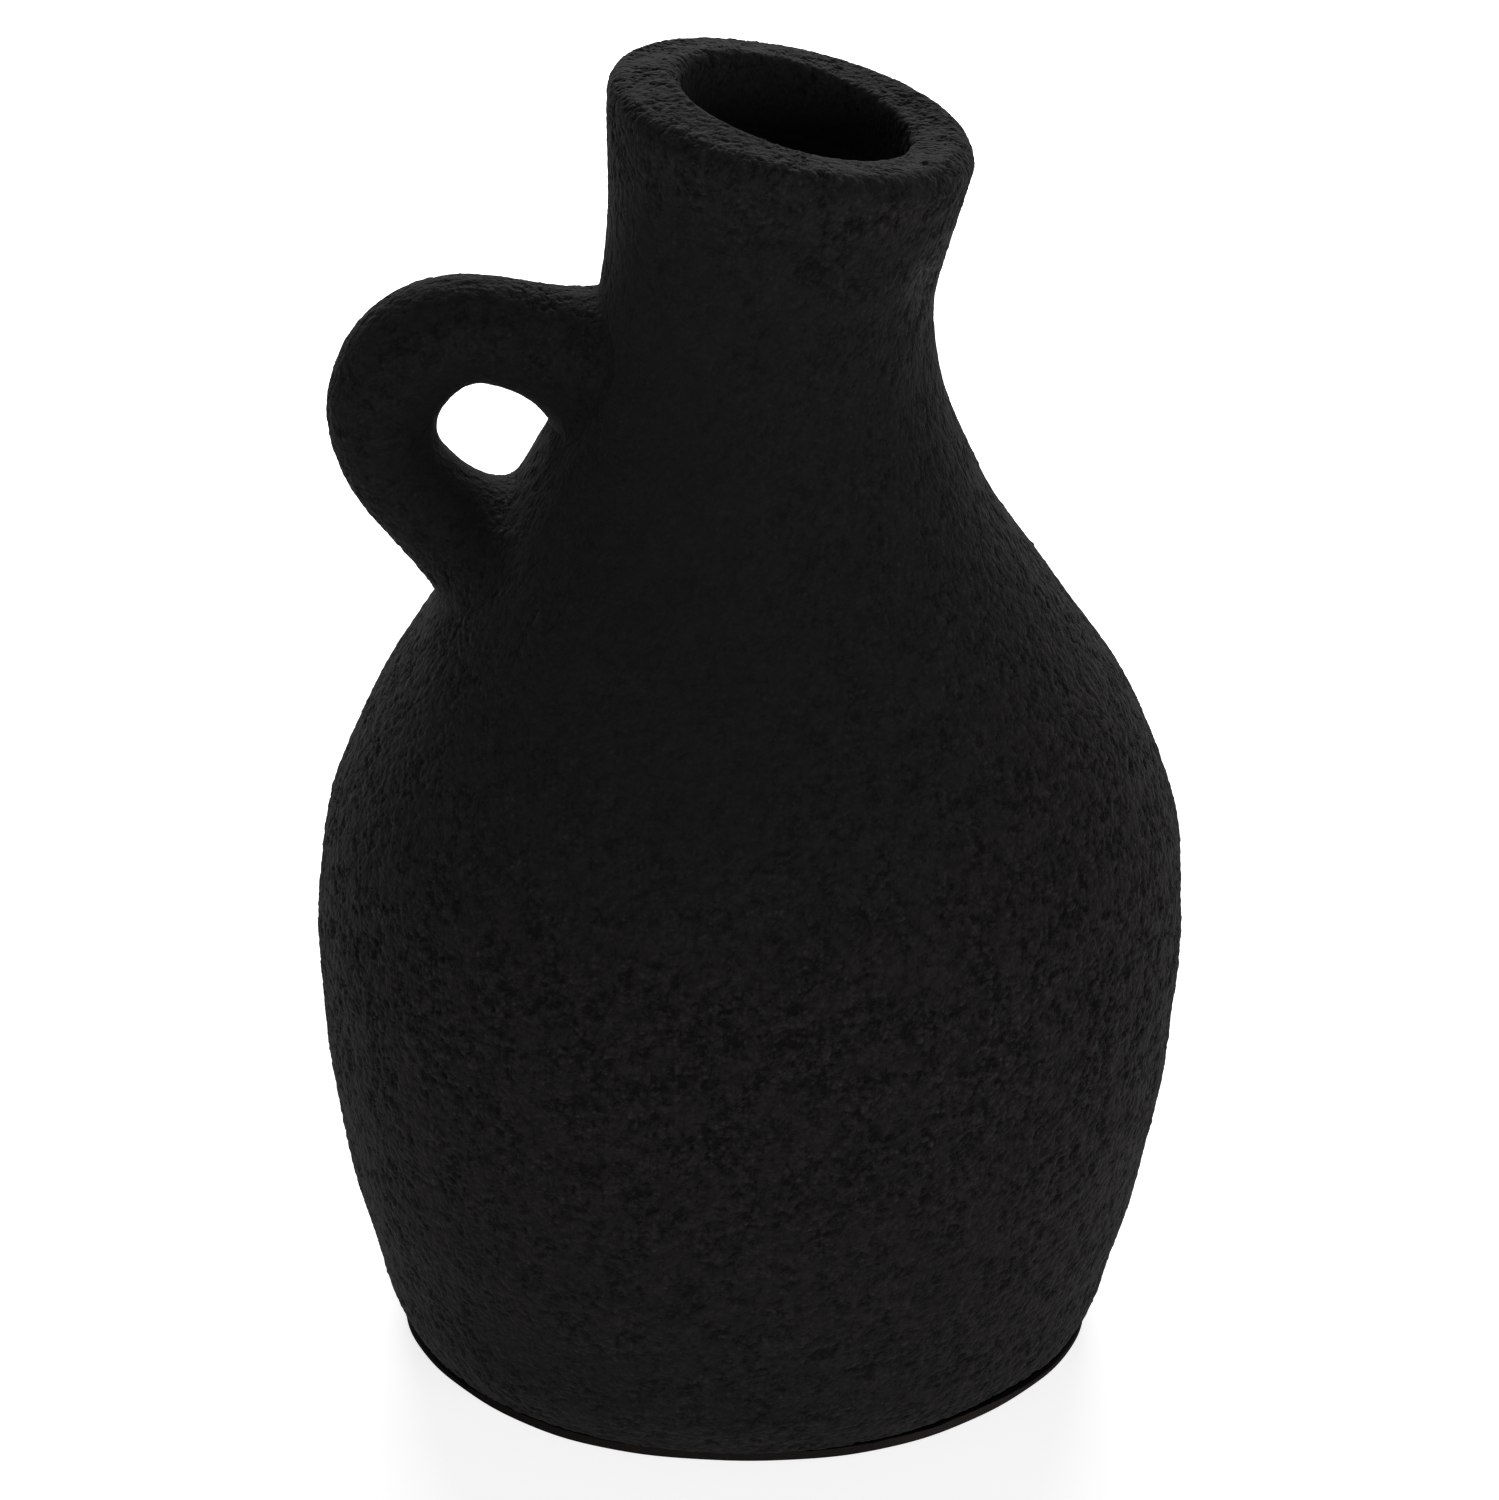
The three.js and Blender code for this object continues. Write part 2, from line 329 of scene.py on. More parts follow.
@dataclass
class Band:
    """Rows of a piece's skin that share one smooth face.

    Args:
        points: rows by columns by 3, counter-clockwise seen from above where the rows rise outside.
        cover: how strongly the relief shows, for each point or for all.
        coarse: how coarse the clay is, for each point or for all.
    """

    points: np.ndarray
    cover: np.ndarray | float = 0.0
    coarse: np.ndarray | float = 1.0

    def spread(self, label: str) -> np.ndarray:
        """The cover or the coarseness of every point."""
        return np.broadcast_to(getattr(self, label), self.points.shape[:2]).ravel()

    @property
    def outward(self) -> np.ndarray:
        """Unit vectors that point out of the clay, worked out from the neighbouring points."""
        round_ = np.roll(self.points, -1, axis=1) - np.roll(self.points, 1, axis=1)
        return unit(np.cross(round_, np.gradient(self.points, axis=0)))


def plain_band(start: np.ndarray, end: np.ndarray, steps: int) -> Band:
    """A band without relief that joins two loops of points, the loops left out.

    Args:
        start: the loop before the band.
        end: the loop after the band.
        steps: how many steps lie between the loops.

    Returns:
        The rows between the two loops.
    """
    share = np.linspace(0, 1, steps + 1)[1:-1, None, None]
    return Band(start[None] * (1 - share) + end[None] * share)


def sweep_mesh(
    name: str, bands: Sequence[Band], poles: tuple[Vector, Vector] | None = None
) -> bpy.types.Object:
    """Joins bands into one closed mesh of quads.

    Args:
        name: the object's name.
        bands: the bands in order. Without poles, the last row joins the first.
        poles: the points that close the first and the last row, if the skin doesn't close on itself.

    Returns:
        The object, with the attributes that the relief reads.
    """
    points = np.concatenate([band.points for band in bands])
    rows, columns = points.shape[:2]
    corner = np.arange(rows * columns).reshape(rows, columns)
    if poles is None:
        corner = np.concatenate((corner, corner[:1]))
    beside = np.roll(corner, -1, axis=1)
    quads = np.stack((corner[:-1], beside[:-1], beside[1:], corner[1:]), axis=-1).reshape(-1, 4)
    places = points.reshape(-1, 3)
    triangles = np.empty((0, 3), int)
    if poles is not None:
        first, last = len(places), len(places) + 1
        places = np.concatenate((places, [poles[0]], [poles[1]]))
        start = np.stack((np.full(columns, first), beside[0], corner[0]), axis=-1)
        end = np.stack((np.full(columns, last), corner[-1], beside[-1]), axis=-1)
        triangles = np.concatenate((start, end))
    mesh = bpy.data.meshes.new(name)
    mesh.vertices.add(len(places))
    mesh.vertices.foreach_set("co", places.astype(np.float32).ravel())
    corners = np.concatenate((quads.ravel(), triangles.ravel())).astype(np.int32)
    mesh.loops.add(len(corners))
    mesh.loops.foreach_set("vertex_index", corners)
    sides = np.concatenate((np.full(len(quads), 4), np.full(len(triangles), 3)))
    mesh.polygons.add(len(sides))
    starts = np.concatenate(([0], np.cumsum(sides)[:-1])).astype(np.int32)
    mesh.polygons.foreach_set("loop_start", starts)
    mesh.update(calc_edges=True)
    mesh.shade_smooth()
    mesh.set_sharp_from_angle(angle=SHARP_ANGLE)
    spare = len(places) - rows * columns
    facing = [band.outward.reshape(-1, 3) for band in bands]
    outward = np.concatenate(facing + [np.zeros((spare, 3))])
    add_attribute(mesh, "outward", "FLOAT_VECTOR", "vector", outward)
    for label in ("cover", "coarse"):
        values = np.concatenate([band.spread(label) for band in bands] + [np.zeros(spare)])
        add_attribute(mesh, label, "FLOAT", "value", values)
    made = bpy.data.objects.new(name, mesh)
    bpy.context.scene.collection.objects.link(made)
    return made


def add_attribute(mesh: bpy.types.Mesh, name: str, kind: str, field: str, values: np.ndarray) -> None:
    """Stores one value or vector for each vertex under a name."""
    mesh.attributes.new(name, kind, "POINT").data.foreach_set(field, values.astype(np.float32).ravel())


class Wiring:
    """A node tree, with short ways to add nodes to it and join them."""

    def __init__(self, tree: bpy.types.NodeTree) -> None:
        """Takes the tree to be wired, and clears it."""
        self.tree = tree
        tree.nodes.clear()

    def add(
        self, kind: str, inputs: Mapping[str | int, object] | None = None, **settings: object
    ) -> bpy.types.Node:
        """Adds a node.

        Args:
            kind: the node's type.
            inputs: a value or a socket to link, for each input by name or number.
            settings: the node's own properties.

        Returns:
            The node.
        """
        node = self.tree.nodes.new(kind)
        for name, value in settings.items():
            setattr(node, name, value)
        for key, value in (inputs or {}).items():
            if isinstance(value, Socket):
                self.tree.links.new(value, node.inputs[key])
            else:
                node.inputs[key].default_value = value
        return node

    def math(self, operation: str, *terms: object) -> Socket:
        """Adds a Math node and gives its result."""
        return self.add("ShaderNodeMath", dict(enumerate(terms)), operation=operation).outputs[0]

    def sum(self, *terms: object) -> Socket:
        """Adds up two or more terms."""
        return reduce(partial(self.math, "ADD"), terms)

    def times(self, *terms: object) -> Socket:
        """Multiplies two or more terms."""
        return reduce(partial(self.math, "MULTIPLY"), terms)

    def vector(self, operation: str, *terms: object) -> Socket:
        """Adds a Vector Math node and gives the vector. What SCALE scales by goes to input 3."""
        inputs = {3 if operation == "SCALE" and i == 1 else i: term for i, term in enumerate(terms)}
        return self.add("ShaderNodeVectorMath", inputs, operation=operation).outputs[0]

    def rise(self, value: object, low: float, high: float, start: float = 0.0, end: float = 1.0) -> Socket:
        """Maps a value smoothly from the range low to high to the range start to end."""
        inputs = {"Value": value, "From Min": low, "From Max": high, "To Min": start, "To Max": end}
        return self.add("ShaderNodeMapRange", inputs, interpolation_type="SMOOTHSTEP").outputs[0]

    def blend(self, share: Socket, start: Colour | Socket, end: Colour) -> Socket:
        """Blends two colours.

        Args:
            share: how much of the second.
            start: the first colour, or a socket that gives it.
            end: the second colour.

        Returns:
            The blend.
        """
        first = start if isinstance(start, Socket) else (*start, 1.0)
        inputs = {"Factor": share, "A": first, "B": (*end, 1.0)}
        return self.add("ShaderNodeMix", inputs, data_type="RGBA").outputs["Result"]

    def noise(
        self, place: Socket, size: object, detail: float = 2.0, rough: float = 0.5, output: str = "Fac"
    ) -> Socket:
        """Adds a noise.

        Args:
            place: the point.
            size: width of its blobs, in metres.
            detail: how many finer noises lie over the first.
            rough: how strong those are.
            output: the name of the output.

        Returns:
            That output.
        """
        scale = self.math("DIVIDE", 1.0, size)
        inputs = {"Vector": place, "Scale": scale, "Detail": detail, "Roughness": rough}
        return self.add("ShaderNodeTexNoise", inputs).outputs[output]

    def cells(self, place: Socket, size: object) -> tuple[Socket, Socket]:
        """Adds cells.

        Args:
            place: the point.
            size: width of the cells, in metres.

        Returns:
            The distance to the nearest cell's middle, in cells, and that cell's chance, from 0 to 1.
        """
        scale = self.math("DIVIDE", 1.0, size)
        node = self.add("ShaderNodeTexVoronoi", {"Vector": place, "Scale": scale})
        chance = self.add("ShaderNodeSeparateXYZ", {0: node.outputs["Color"]}).outputs[0]
        return node.outputs["Distance"], chance

    def edge(self, share: Socket) -> Socket:
        """Gives 1 where a share passes through a half, and 0 where it is 0 or 1."""
        return self.times(share, self.math("SUBTRACT", 1.0, share), 4.0)

    def spots(self, place: Socket, size: object, least: float, reach: float) -> Socket:
        """Adds round spots: 1 in the middle of some cells of about size across, 0 between them.

        Args:
            place: the point.
            size: the size of the cells, in metres.
            least: the share of the cells that have no spot.
            reach: radius of the widest spot, as a share of a cell.

        Returns:
            The strength, from 0 to 1.
        """
        smallest, flat_share = 0.001, 0.35
        distance, chance = self.cells(place, size)
        radius = self.rise(chance, least, 1.0, smallest, reach)
        return self.rise(self.math("DIVIDE", distance, radius), 1.0, flat_share)


def new_material(name: str) -> tuple[bpy.types.Material, Wiring]:
    """Makes an empty material.

    Args:
        name: its name.

    Returns:
        The material and its wiring.
    """
    material = bpy.data.materials.new(name)
    material.use_nodes = True
    return material, Wiring(material.node_tree)


@dataclass(frozen=True)
class Relief:
    """Sizes of the clay's relief, in metres. Each is also an input of the relief tree.

    Args:
        stand: how far coarse clay stands off the bare skin.
        crumb_size: spacing of the crumbs.
        crumb_height: how deep the joints between the crumbs are.
        grain_size: width of the grains.
        grain_height: how far the grains rise and fall.
        gap_depth: how much deeper the gaps between them are.
        pit_size: spacing of the pits.
        pit_depth: depth of the pits.
        speck_size: spacing of the finest specks.
        speck_height: height of the specks.
        patch_size: width of the rougher and the calmer patches.
        nub_size: spacing of the nubs.
        nub_height: height of the nubs.
        swell_size: width of the low swells.
        swell_height: how far the swells rise and fall.
        warp_size: width of the bends that break up straight edges.
        warp: how far they bend them.
        seed: where in the noise the pattern starts.
    """

    stand: float = 0.00014
    crumb_size: float = 0.0016
    crumb_height: float = 0.00020
    grain_size: float = 0.0034
    grain_height: float = 0.00040
    gap_depth: float = 0.00020
    pit_size: float = 0.0040
    pit_depth: float = 0.00028
    speck_size: float = 0.0013
    speck_height: float = 0.00011
    patch_size: float = 0.0085
    nub_size: float = 0.0095
    nub_height: float = 0.00055
    swell_size: float = 0.028
    swell_height: float = 0.0005
    warp_size: float = 0.0033
    warp: float = 0.0016
    seed: float = 3.0


@dataclass(frozen=True)
class ReliefForm:
    """How the forms of the relief are cut out of their noises, in shares, the same on every piece.

    Args:
        patch_span: the patch noise's levels between which a rough patch turns calm.
        calm_patch: how much of the relief a calm patch keeps.
        crumb_chance: how much lower some crumbs lie than others.
        crumb_span: the distances, in cells, of a crumb's foot and of its flat top.
        grain_noise: detail and roughness of the grains' noise.
        gap_span: the grains' levels between which a gap opens.
        pits: share of the cells without a pit, and the widest pit's radius in cells.
        specks: the same for the specks.
        nubs: the same for the nubs.
    """

    patch_span: Pair = (0.42, 0.62)
    calm_patch: float = 0.55
    crumb_chance: float = 0.35
    crumb_span: Pair = (0.95, 0.35)
    grain_noise: Pair = (3.0, 0.85)
    gap_span: Pair = (0.46, 0.40)
    pits: Pair = (0.40, 0.30)
    specks: Pair = (0.35, 0.60)
    nubs: Pair = (0.50, 0.13)


@dataclass(frozen=True)
class Tone:
    """How much each form of the relief pales the clay. Below zero it darkens it. The darkening of the gaps,
    the pits, the joints between crumbs and the grain's low places is painted shade in those hollows; the
    paling round the edges of gaps and pits is painted highlight; the grain's crests are paler where
    scuffed.
    """

    grain: float = 2.4
    speck: float = 0.95
    crumb: float = 0.65
    gap: float = -0.20
    pit: float = -0.8
    gap_edge_highlight: float = 0.16
    pit_edge_highlight: float = 0.30


def wire_relief(
    wiring: Wiring, place: Socket, coarse: Socket, sizes: Mapping[str, object]
) -> tuple[Socket, Socket]:
    """Wires the clay's relief: crumbs, grain with gaps in it, pits, specks, nubs and low swells.

    Args:
        wiring: the tree, of geometry or of a material.
        place: the point of the bare skin.
        coarse: how coarse the clay is there.
        sizes: a number or a socket for each size of the relief.

    Returns:
        The height in metres, and a tone below zero in the gaps and above zero on the crests: painted shade
        in the hollows, painted highlight round the edges of gaps and pits.
    """
    form, weight = ReliefForm(), Tone()
    shift = wiring.add("ShaderNodeCombineXYZ", {"X": sizes["seed"]}).outputs[0]
    place = wiring.vector("ADD", place, shift)
    drift = wiring.noise(place, sizes["warp_size"], detail=1.0, output="Color")
    centred = wiring.vector("SUBTRACT", drift, (0.5, 0.5, 0.5))
    warped = wiring.vector("ADD", place, wiring.vector("SCALE", centred, sizes["warp"]))

    patch = wiring.noise(warped, sizes["patch_size"])
    rough = wiring.rise(patch, *form.patch_span, 1.0, form.calm_patch)
    distance, chance = wiring.cells(warped, sizes["crumb_size"])
    crumb_level = wiring.math("MULTIPLY_ADD", chance, form.crumb_chance, distance)
    crumb = wiring.rise(crumb_level, *form.crumb_span, -1.0, 0.0)
    level = wiring.noise(warped, sizes["grain_size"], *form.grain_noise)
    grain = wiring.math("MULTIPLY_ADD", level, 2.0, -1.0)
    gap = wiring.rise(level, *form.gap_span)
    pit = wiring.spots(warped, sizes["pit_size"], *form.pits)
    speck = wiring.spots(place, sizes["speck_size"], *form.specks)
    nub = wiring.spots(place, sizes["nub_size"], *form.nubs)
    swell = wiring.math("SUBTRACT", wiring.noise(place, sizes["swell_size"], detail=1.0), 0.5)

    fine = wiring.sum(
        sizes["stand"],
        wiring.times(crumb, sizes["crumb_height"]),
        wiring.times(grain, sizes["grain_height"]),
        wiring.times(gap, sizes["gap_depth"], -1.0),
        wiring.times(pit, sizes["pit_depth"], -1.0),
        wiring.times(speck, sizes["speck_height"]),
    )
    height = wiring.sum(
        wiring.times(fine, rough, coarse),
        wiring.times(nub, sizes["nub_height"]),
        wiring.times(swell, sizes["swell_height"]),
    )
    # Painted shade darkens the hollows (gaps, pits, crumb joints, the grain's low places); painted
    # highlight pales the edges round gaps and pits.
    tone = wiring.sum(
        wiring.times(grain, weight.grain),
        wiring.times(speck, weight.speck),
        wiring.times(crumb, weight.crumb),
        wiring.times(gap, weight.gap),
        wiring.times(pit, weight.pit),
        wiring.times(wiring.edge(gap), weight.gap_edge_highlight),
        wiring.times(wiring.edge(pit), weight.pit_edge_highlight),
    )
    return height, wiring.times(tone, rough)


class ReliefTree:
    """Geometry nodes that push a skin along its outward vectors into the clay's relief."""

    def __init__(self) -> None:
        """Builds the tree once, for all pieces."""
        self.tree = bpy.data.node_groups.new("clay_relief", "GeometryNodeTree")
        interface = self.tree.interface
        interface.new_socket("Geometry", in_out="INPUT", socket_type="NodeSocketGeometry")
        self.keys = {}
        for field in fields(Relief):
            label = self._label(field.name)
            socket = interface.new_socket(label, in_out="INPUT", socket_type="NodeSocketFloat")
            self.keys[field.name] = socket.identifier
        material = interface.new_socket("Material", in_out="INPUT", socket_type="NodeSocketMaterial")
        self.material_key = material.identifier
        interface.new_socket("Geometry", in_out="OUTPUT", socket_type="NodeSocketGeometry")
        self._wire()

    @staticmethod
    def _label(name: str) -> str:
        """The input's label for a size."""
        return name.replace("_", " ").title()

    def _attribute(self, wiring: Wiring, name: str, kind: str = "FLOAT") -> Socket:
        """Reads one of the skin's attributes."""
        return wiring.add("GeometryNodeInputNamedAttribute", {"Name": name}, data_type=kind).outputs[0]

    def _wire(self) -> None:
        """Keeps the bare skin's place for the finish, then moves the skin by the relief's height."""
        wiring = Wiring(self.tree)
        given = wiring.add("NodeGroupInput").outputs
        place = wiring.add("GeometryNodeInputPosition").outputs[0]
        sizes = {name: given[self._label(name)] for name in self.keys}
        height, _ = wire_relief(wiring, place, self._attribute(wiring, "coarse"), sizes)
        height = wiring.times(height, self._attribute(wiring, "cover"))
        kept = wiring.add(
            "GeometryNodeStoreNamedAttribute",
            {"Geometry": given["Geometry"], "Name": "bare_place", "Value": place},
            data_type="FLOAT_VECTOR", domain="POINT",
        )
        offset = wiring.vector("SCALE", self._attribute(wiring, "outward", "FLOAT_VECTOR"), height)
        moved = wiring.add("GeometryNodeSetPosition", {"Geometry": kept.outputs[0], "Offset": offset})
        realized = wiring.add("GeometryNodeRealizeInstances", {"Geometry": moved.outputs[0]})
        dressed = wiring.add(
            "GeometryNodeSetMaterial",
            {"Geometry": realized.outputs[0], "Material": given["Material"]},
        )
        wiring.add("NodeGroupOutput", {"Geometry": dressed.outputs[0]})

    def apply(
        self, piece: bpy.types.Object, relief: Relief, material: bpy.types.Material | None = None
    ) -> None:
        """Runs the tree on a piece and keeps the result as its plain mesh.

        Args:
            piece: the piece, with its outward, cover and coarse attributes.
            relief: the sizes of the relief.
            material: the piece's finish, if it has one.
        """
        modifier = piece.modifiers.new("clay_relief", "NODES")
        modifier.node_group = self.tree
        for name, key in self.keys.items():
            modifier[key] = getattr(relief, name)
        modifier[self.material_key] = material
        evaluated = piece.evaluated_get(bpy.context.evaluated_depsgraph_get())
        made = bpy.data.meshes.new_from_object(evaluated)
        piece.modifiers.clear()
        spare, piece.data = piece.data, made
        bpy.data.meshes.remove(spare)
        made.name = piece.name


@dataclass(frozen=True)
class ClayFinish:
    """Matt fired clay: neutral and darker where a wet hand smoothed it, warmer and paler where coarse. Its
    colour also holds painted shade in the hollows of its relief, painted highlights round its gaps and
    pits, and a painted highlight on the neck.

    Args:
        name: the material's name.
        relief: the sizes of the relief under it.
        coarse_clay: the colour of coarse clay.
        calm_clay: the colour of smoothed clay. The handle's is given much darker, as painted shade inside
            its loop and where the coil sinks into the wall.
        coarse_span: the coarseness at which the first starts and is full.
        contrast: how much the gaps darken, as painted shade, and the crests pale on coarse clay.
        calm_contrast: the share of that on smoothed clay.
        level: how strong the colour is halfway between gap and crest.
        deepest: how strong it still is in the deepest gap.
        mottle_size: width of the paler and darker clouds.
        mottle_levels: the levels of their noise where they are darkest and palest.
        mottle: how strong the colour is there.
        speck_size: width of the dust's specks.
        speck_levels: the levels of their noise where no dust lies and where most lies.
        bare: how strong the colour is where no dust lies.
        dust: how strong it is in the dustiest spots.
        roughness: how matt it is, from 0 to 1.
        sheen: the little that it still shines, from 0 to 1.
        diffuse_roughness: how evenly it scatters the light.
        grain_size: width of the fine grain.
        grain: depth of the fine grain.
        speck_share: depth of the specks, as a share of that.
        sharpness: how much of the relief the finish adds to the skin's own.
        neck_highlight_place: the middle of a pale spot on the bare skin at the neck's right front, by the
            finger dent: painted highlight.
        neck_highlight_reach: radius of that spot.
        neck_highlight_gain: how much paler it is at its middle.
        neck_highlight_tones: the tones of its gaps and of its crests.
        neck_highlight_shares: how much of that paling its gaps and its crests take.
    """

    name: str
    relief: Relief = Relief()
    coarse_clay: Colour = (0.0097, 0.0085, 0.0091)
    calm_clay: Colour = (0.0073, 0.0072, 0.0072)
    coarse_span: Pair = (0.4, 1.2)
    contrast: float = 0.76
    calm_contrast: float = 0.3
    level: float = 1.1
    deepest: float = 0.15
    mottle_size: float = 0.010
    mottle_levels: Pair = (0.3, 0.7)
    mottle: Pair = (0.92, 1.08)
    speck_size: float = 0.0009
    speck_levels: Pair = (0.35, 0.75)
    bare: float = 0.88
    dust: float = 1.3
    roughness: float = 0.88
    sheen: float = 0.10
    diffuse_roughness: float = 0.6
    grain_size: float = 0.00050
    grain: float = 0.00010
    speck_share: float = 1.6
    sharpness: float = 0.9
    neck_highlight_place: Place = (0.0412, -0.0150, 0.2685)
    neck_highlight_reach: float = 0.017
    neck_highlight_gain: float = 1.8
    neck_highlight_tones: Pair = (-0.6, 0.6)
    neck_highlight_shares: Pair = (0.3, 1.4)

    def make(self) -> bpy.types.Material:
        """Gives the material."""
        material, wiring = new_material(self.name)
        place, coarse, cover = (
            wiring.add("ShaderNodeAttribute", attribute_name=name).outputs[output]
            for name, output in (("bare_place", "Vector"), ("coarse", "Fac"), ("cover", "Fac"))
        )
        height, tone = wire_relief(wiring, place, coarse, asdict(self.relief))
        shown = wiring.times(coarse, cover)
        mottle = wiring.noise(place, self.mottle_size, detail=3.0, rough=0.6)
        speck = wiring.noise(place, self.speck_size, rough=0.6)
        fine = wiring.noise(place, self.grain_size, rough=0.6)
        strength = wiring.times(
            self._wire_tone(wiring, tone, shown),
            wiring.rise(mottle, *self.mottle_levels, *self.mottle),
            wiring.rise(speck, *self.speck_levels, self.bare, self.dust),
            # Painted highlight: a pale spot on the neck's right front, by the finger dent.
            self._wire_neck_highlight(wiring, tone, place),
        )
        clay = wiring.blend(wiring.rise(shown, *self.coarse_span), self.calm_clay, self.coarse_clay)
        grain = wiring.times(wiring.sum(wiring.times(speck, self.speck_share), fine), self.grain)
        bumps = wiring.sum(wiring.times(height, cover, self.sharpness), grain)
        bump = wiring.add("ShaderNodeBump", {"Strength": 1.0, "Distance": 1.0, "Height": bumps})
        shader = wiring.add("ShaderNodeBsdfPrincipled", {
            "Base Color": wiring.vector("SCALE", clay, strength),
            "Roughness": self.roughness, "Normal": bump.outputs[0],
            "Specular IOR Level": self.sheen, "Diffuse Roughness": self.diffuse_roughness,
        })
        wiring.add("ShaderNodeOutputMaterial", {"Surface": shader.outputs[0]})
        return material

    def _wire_tone(self, wiring: Wiring, tone: Socket, shown: Socket) -> Socket:
        """Wires how strong the relief's tone, with its painted shade and painted highlights, leaves the
        colour: it counts less on smoothed clay.

        Args:
            wiring: the material's wiring.
            tone: the relief's tone.
            shown: how coarse the clay is, where the relief shows.

        Returns:
            The strength.
        """
        least = self.calm_contrast * self.contrast
        weight = wiring.math("MAXIMUM", wiring.times(shown, self.contrast), least)
        return wiring.math("MAXIMUM", wiring.math("MULTIPLY_ADD", tone, weight, self.level), self.deepest)

    def _wire_neck_highlight(self, wiring: Wiring, tone: Socket, place: Socket) -> Socket:
        """Wires a painted highlight: a pale spot on the neck's right front, by the finger dent, palest on
        its crests.

        Args:
            wiring: the material's wiring.
            tone: the relief's tone.
            place: the point of the bare skin.

        Returns:
            The strength, 1 outside the spot.
        """
        away = wiring.add("ShaderNodeVectorMath", {0: place, 1: self.neck_highlight_place}, operation="DISTANCE")
        neck_highlight = wiring.rise(away.outputs["Value"], self.neck_highlight_reach, 0.0, end=self.neck_highlight_gain)
        share = wiring.rise(tone, *self.neck_highlight_tones, *self.neck_highlight_shares)
        return wiring.math("MULTIPLY_ADD", neck_highlight, share, 1.0)


@dataclass(frozen=True)
class FeltFinish:
    """Dark felt under the foot: soft, fibrous and fully matt. Its upper face and a band down its edge are
    near black: painted shadow of the gap under the foot. Most of it is darker than its right end: painted
    shade.

    Args:
        name: the material's name.
        thickness: the felt's thickness.
        colour: the felt's colour.
        lint: the colour of its palest fibres.
        lint_span: the fibre noise's levels at which the lint starts and is full.
        fibre_size: width of the fibres.
        fibre_pull: how much finer they are in X, Y and Z.
        fuzz: how far the fibres stand off.
        nap: how strongly they roughen the felt, from 0 to 1.
        glue: the near-black colour of the painted shadow of the gap under the foot.
        glue_depth: how far that painted shadow reaches down the edge, on most of it and at both sides.
        glue_span: how far to the side it reaches deeper.
        drip_size: width of the waves along its lower edge.
        drip: how far the largest wave reaches down.
        glue_edge: the share of its depth at which the painted shadow is gone, and at which it still covers.
        worn: how dark the felt is on most of its edge, as a share of its colour at the right: painted
            shade.
        worn_span: where in X it gets paler.
        sheen: the little that it shines, from 0 to 1.
    """

    name: str
    thickness: float
    colour: Colour = (0.0200, 0.0172, 0.0158)
    lint: Colour = (0.0310, 0.0265, 0.0240)
    lint_span: Pair = (0.4, 0.7)
    fibre_size: float = 0.0012
    fibre_pull: Triple = (1.0, 2.5, 4.0)
    fuzz: float = 0.0001
    nap: float = 0.8
    glue: Colour = (0.0010, 0.0010, 0.0010)
    glue_depth: Pair = (0.0002, 0.0011)
    glue_span: Pair = (0.056, 0.070)
    drip_size: float = 0.006
    drip: float = 0.0008
    glue_edge: Pair = (1.3, 0.9)
    worn: float = 0.6
    worn_span: Pair = (0.024, 0.046)
    sheen: float = 0.02

    def make(self) -> bpy.types.Material:
        """Gives the material."""
        material, wiring = new_material(self.name)
        place = wiring.add("ShaderNodeTexCoord").outputs["Object"]
        pulled = wiring.add("ShaderNodeMapping", {"Vector": place, "Scale": self.fibre_pull}).outputs[0]
        fibre = wiring.noise(pulled, self.fibre_size, detail=3.0, rough=0.7)
        ramp = wiring.add("ShaderNodeValToRGB", {"Fac": fibre})
        for stop, level, colour in zip(ramp.color_ramp.elements, self.lint_span, (self.colour, self.lint)):
            stop.position, stop.color = level, (*colour, 1.0)
        across, _, height = wiring.add("ShaderNodeSeparateXYZ", {0: place}).outputs
        # Painted shade: the felt is darker on most of it than at its right end.
        worn = wiring.rise(across, *self.worn_span, self.worn, 1.0)
        # Painted shadow of the gap under the foot: the upper face and a band down the edge turn near black,
        # the band deeper at both sides.
        depth = wiring.rise(wiring.math("ABSOLUTE", across), *self.glue_span, *self.glue_depth)
        run = wiring.math("MULTIPLY_ADD", wiring.noise(place, self.drip_size), self.drip, depth)
        below = wiring.math("DIVIDE", wiring.math("SUBTRACT", self.thickness, height), run)
        felt = wiring.vector("SCALE", ramp.outputs["Color"], worn)
        mixed = wiring.blend(wiring.rise(below, *self.glue_edge), felt, self.glue)
        inputs = {"Strength": self.nap, "Distance": self.fuzz, "Height": fibre}
        bump = wiring.add("ShaderNodeBump", inputs)
        shader = wiring.add("ShaderNodeBsdfPrincipled", {
            "Base Color": mixed, "Roughness": 1.0, "Normal": bump.outputs[0],
            "Specular IOR Level": self.sheen,
        })
        wiring.add("ShaderNodeOutputMaterial", {"Surface": shader.outputs[0]})
        return material


class Slot(Enum):
    """The record's material slots."""

    PAD = "pad_felt"
    BODY = "body_clay"
    RIM = "rim_clay"
    HANDLE = "handle_clay"


def seat(piece: bpy.types.Object, node: str, slot: Slot) -> None:
    """Lets a finished piece stand for a CAD node.

    Args:
        piece: the finished piece.
        node: the CAD node that it stands for.
        slot: the record's slot that its finish belongs to.
    """
    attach(piece, BODY)
    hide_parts(node)
    LOG.info("%s: %d faces, %s", piece.name, len(piece.data.polygons), slot.value)


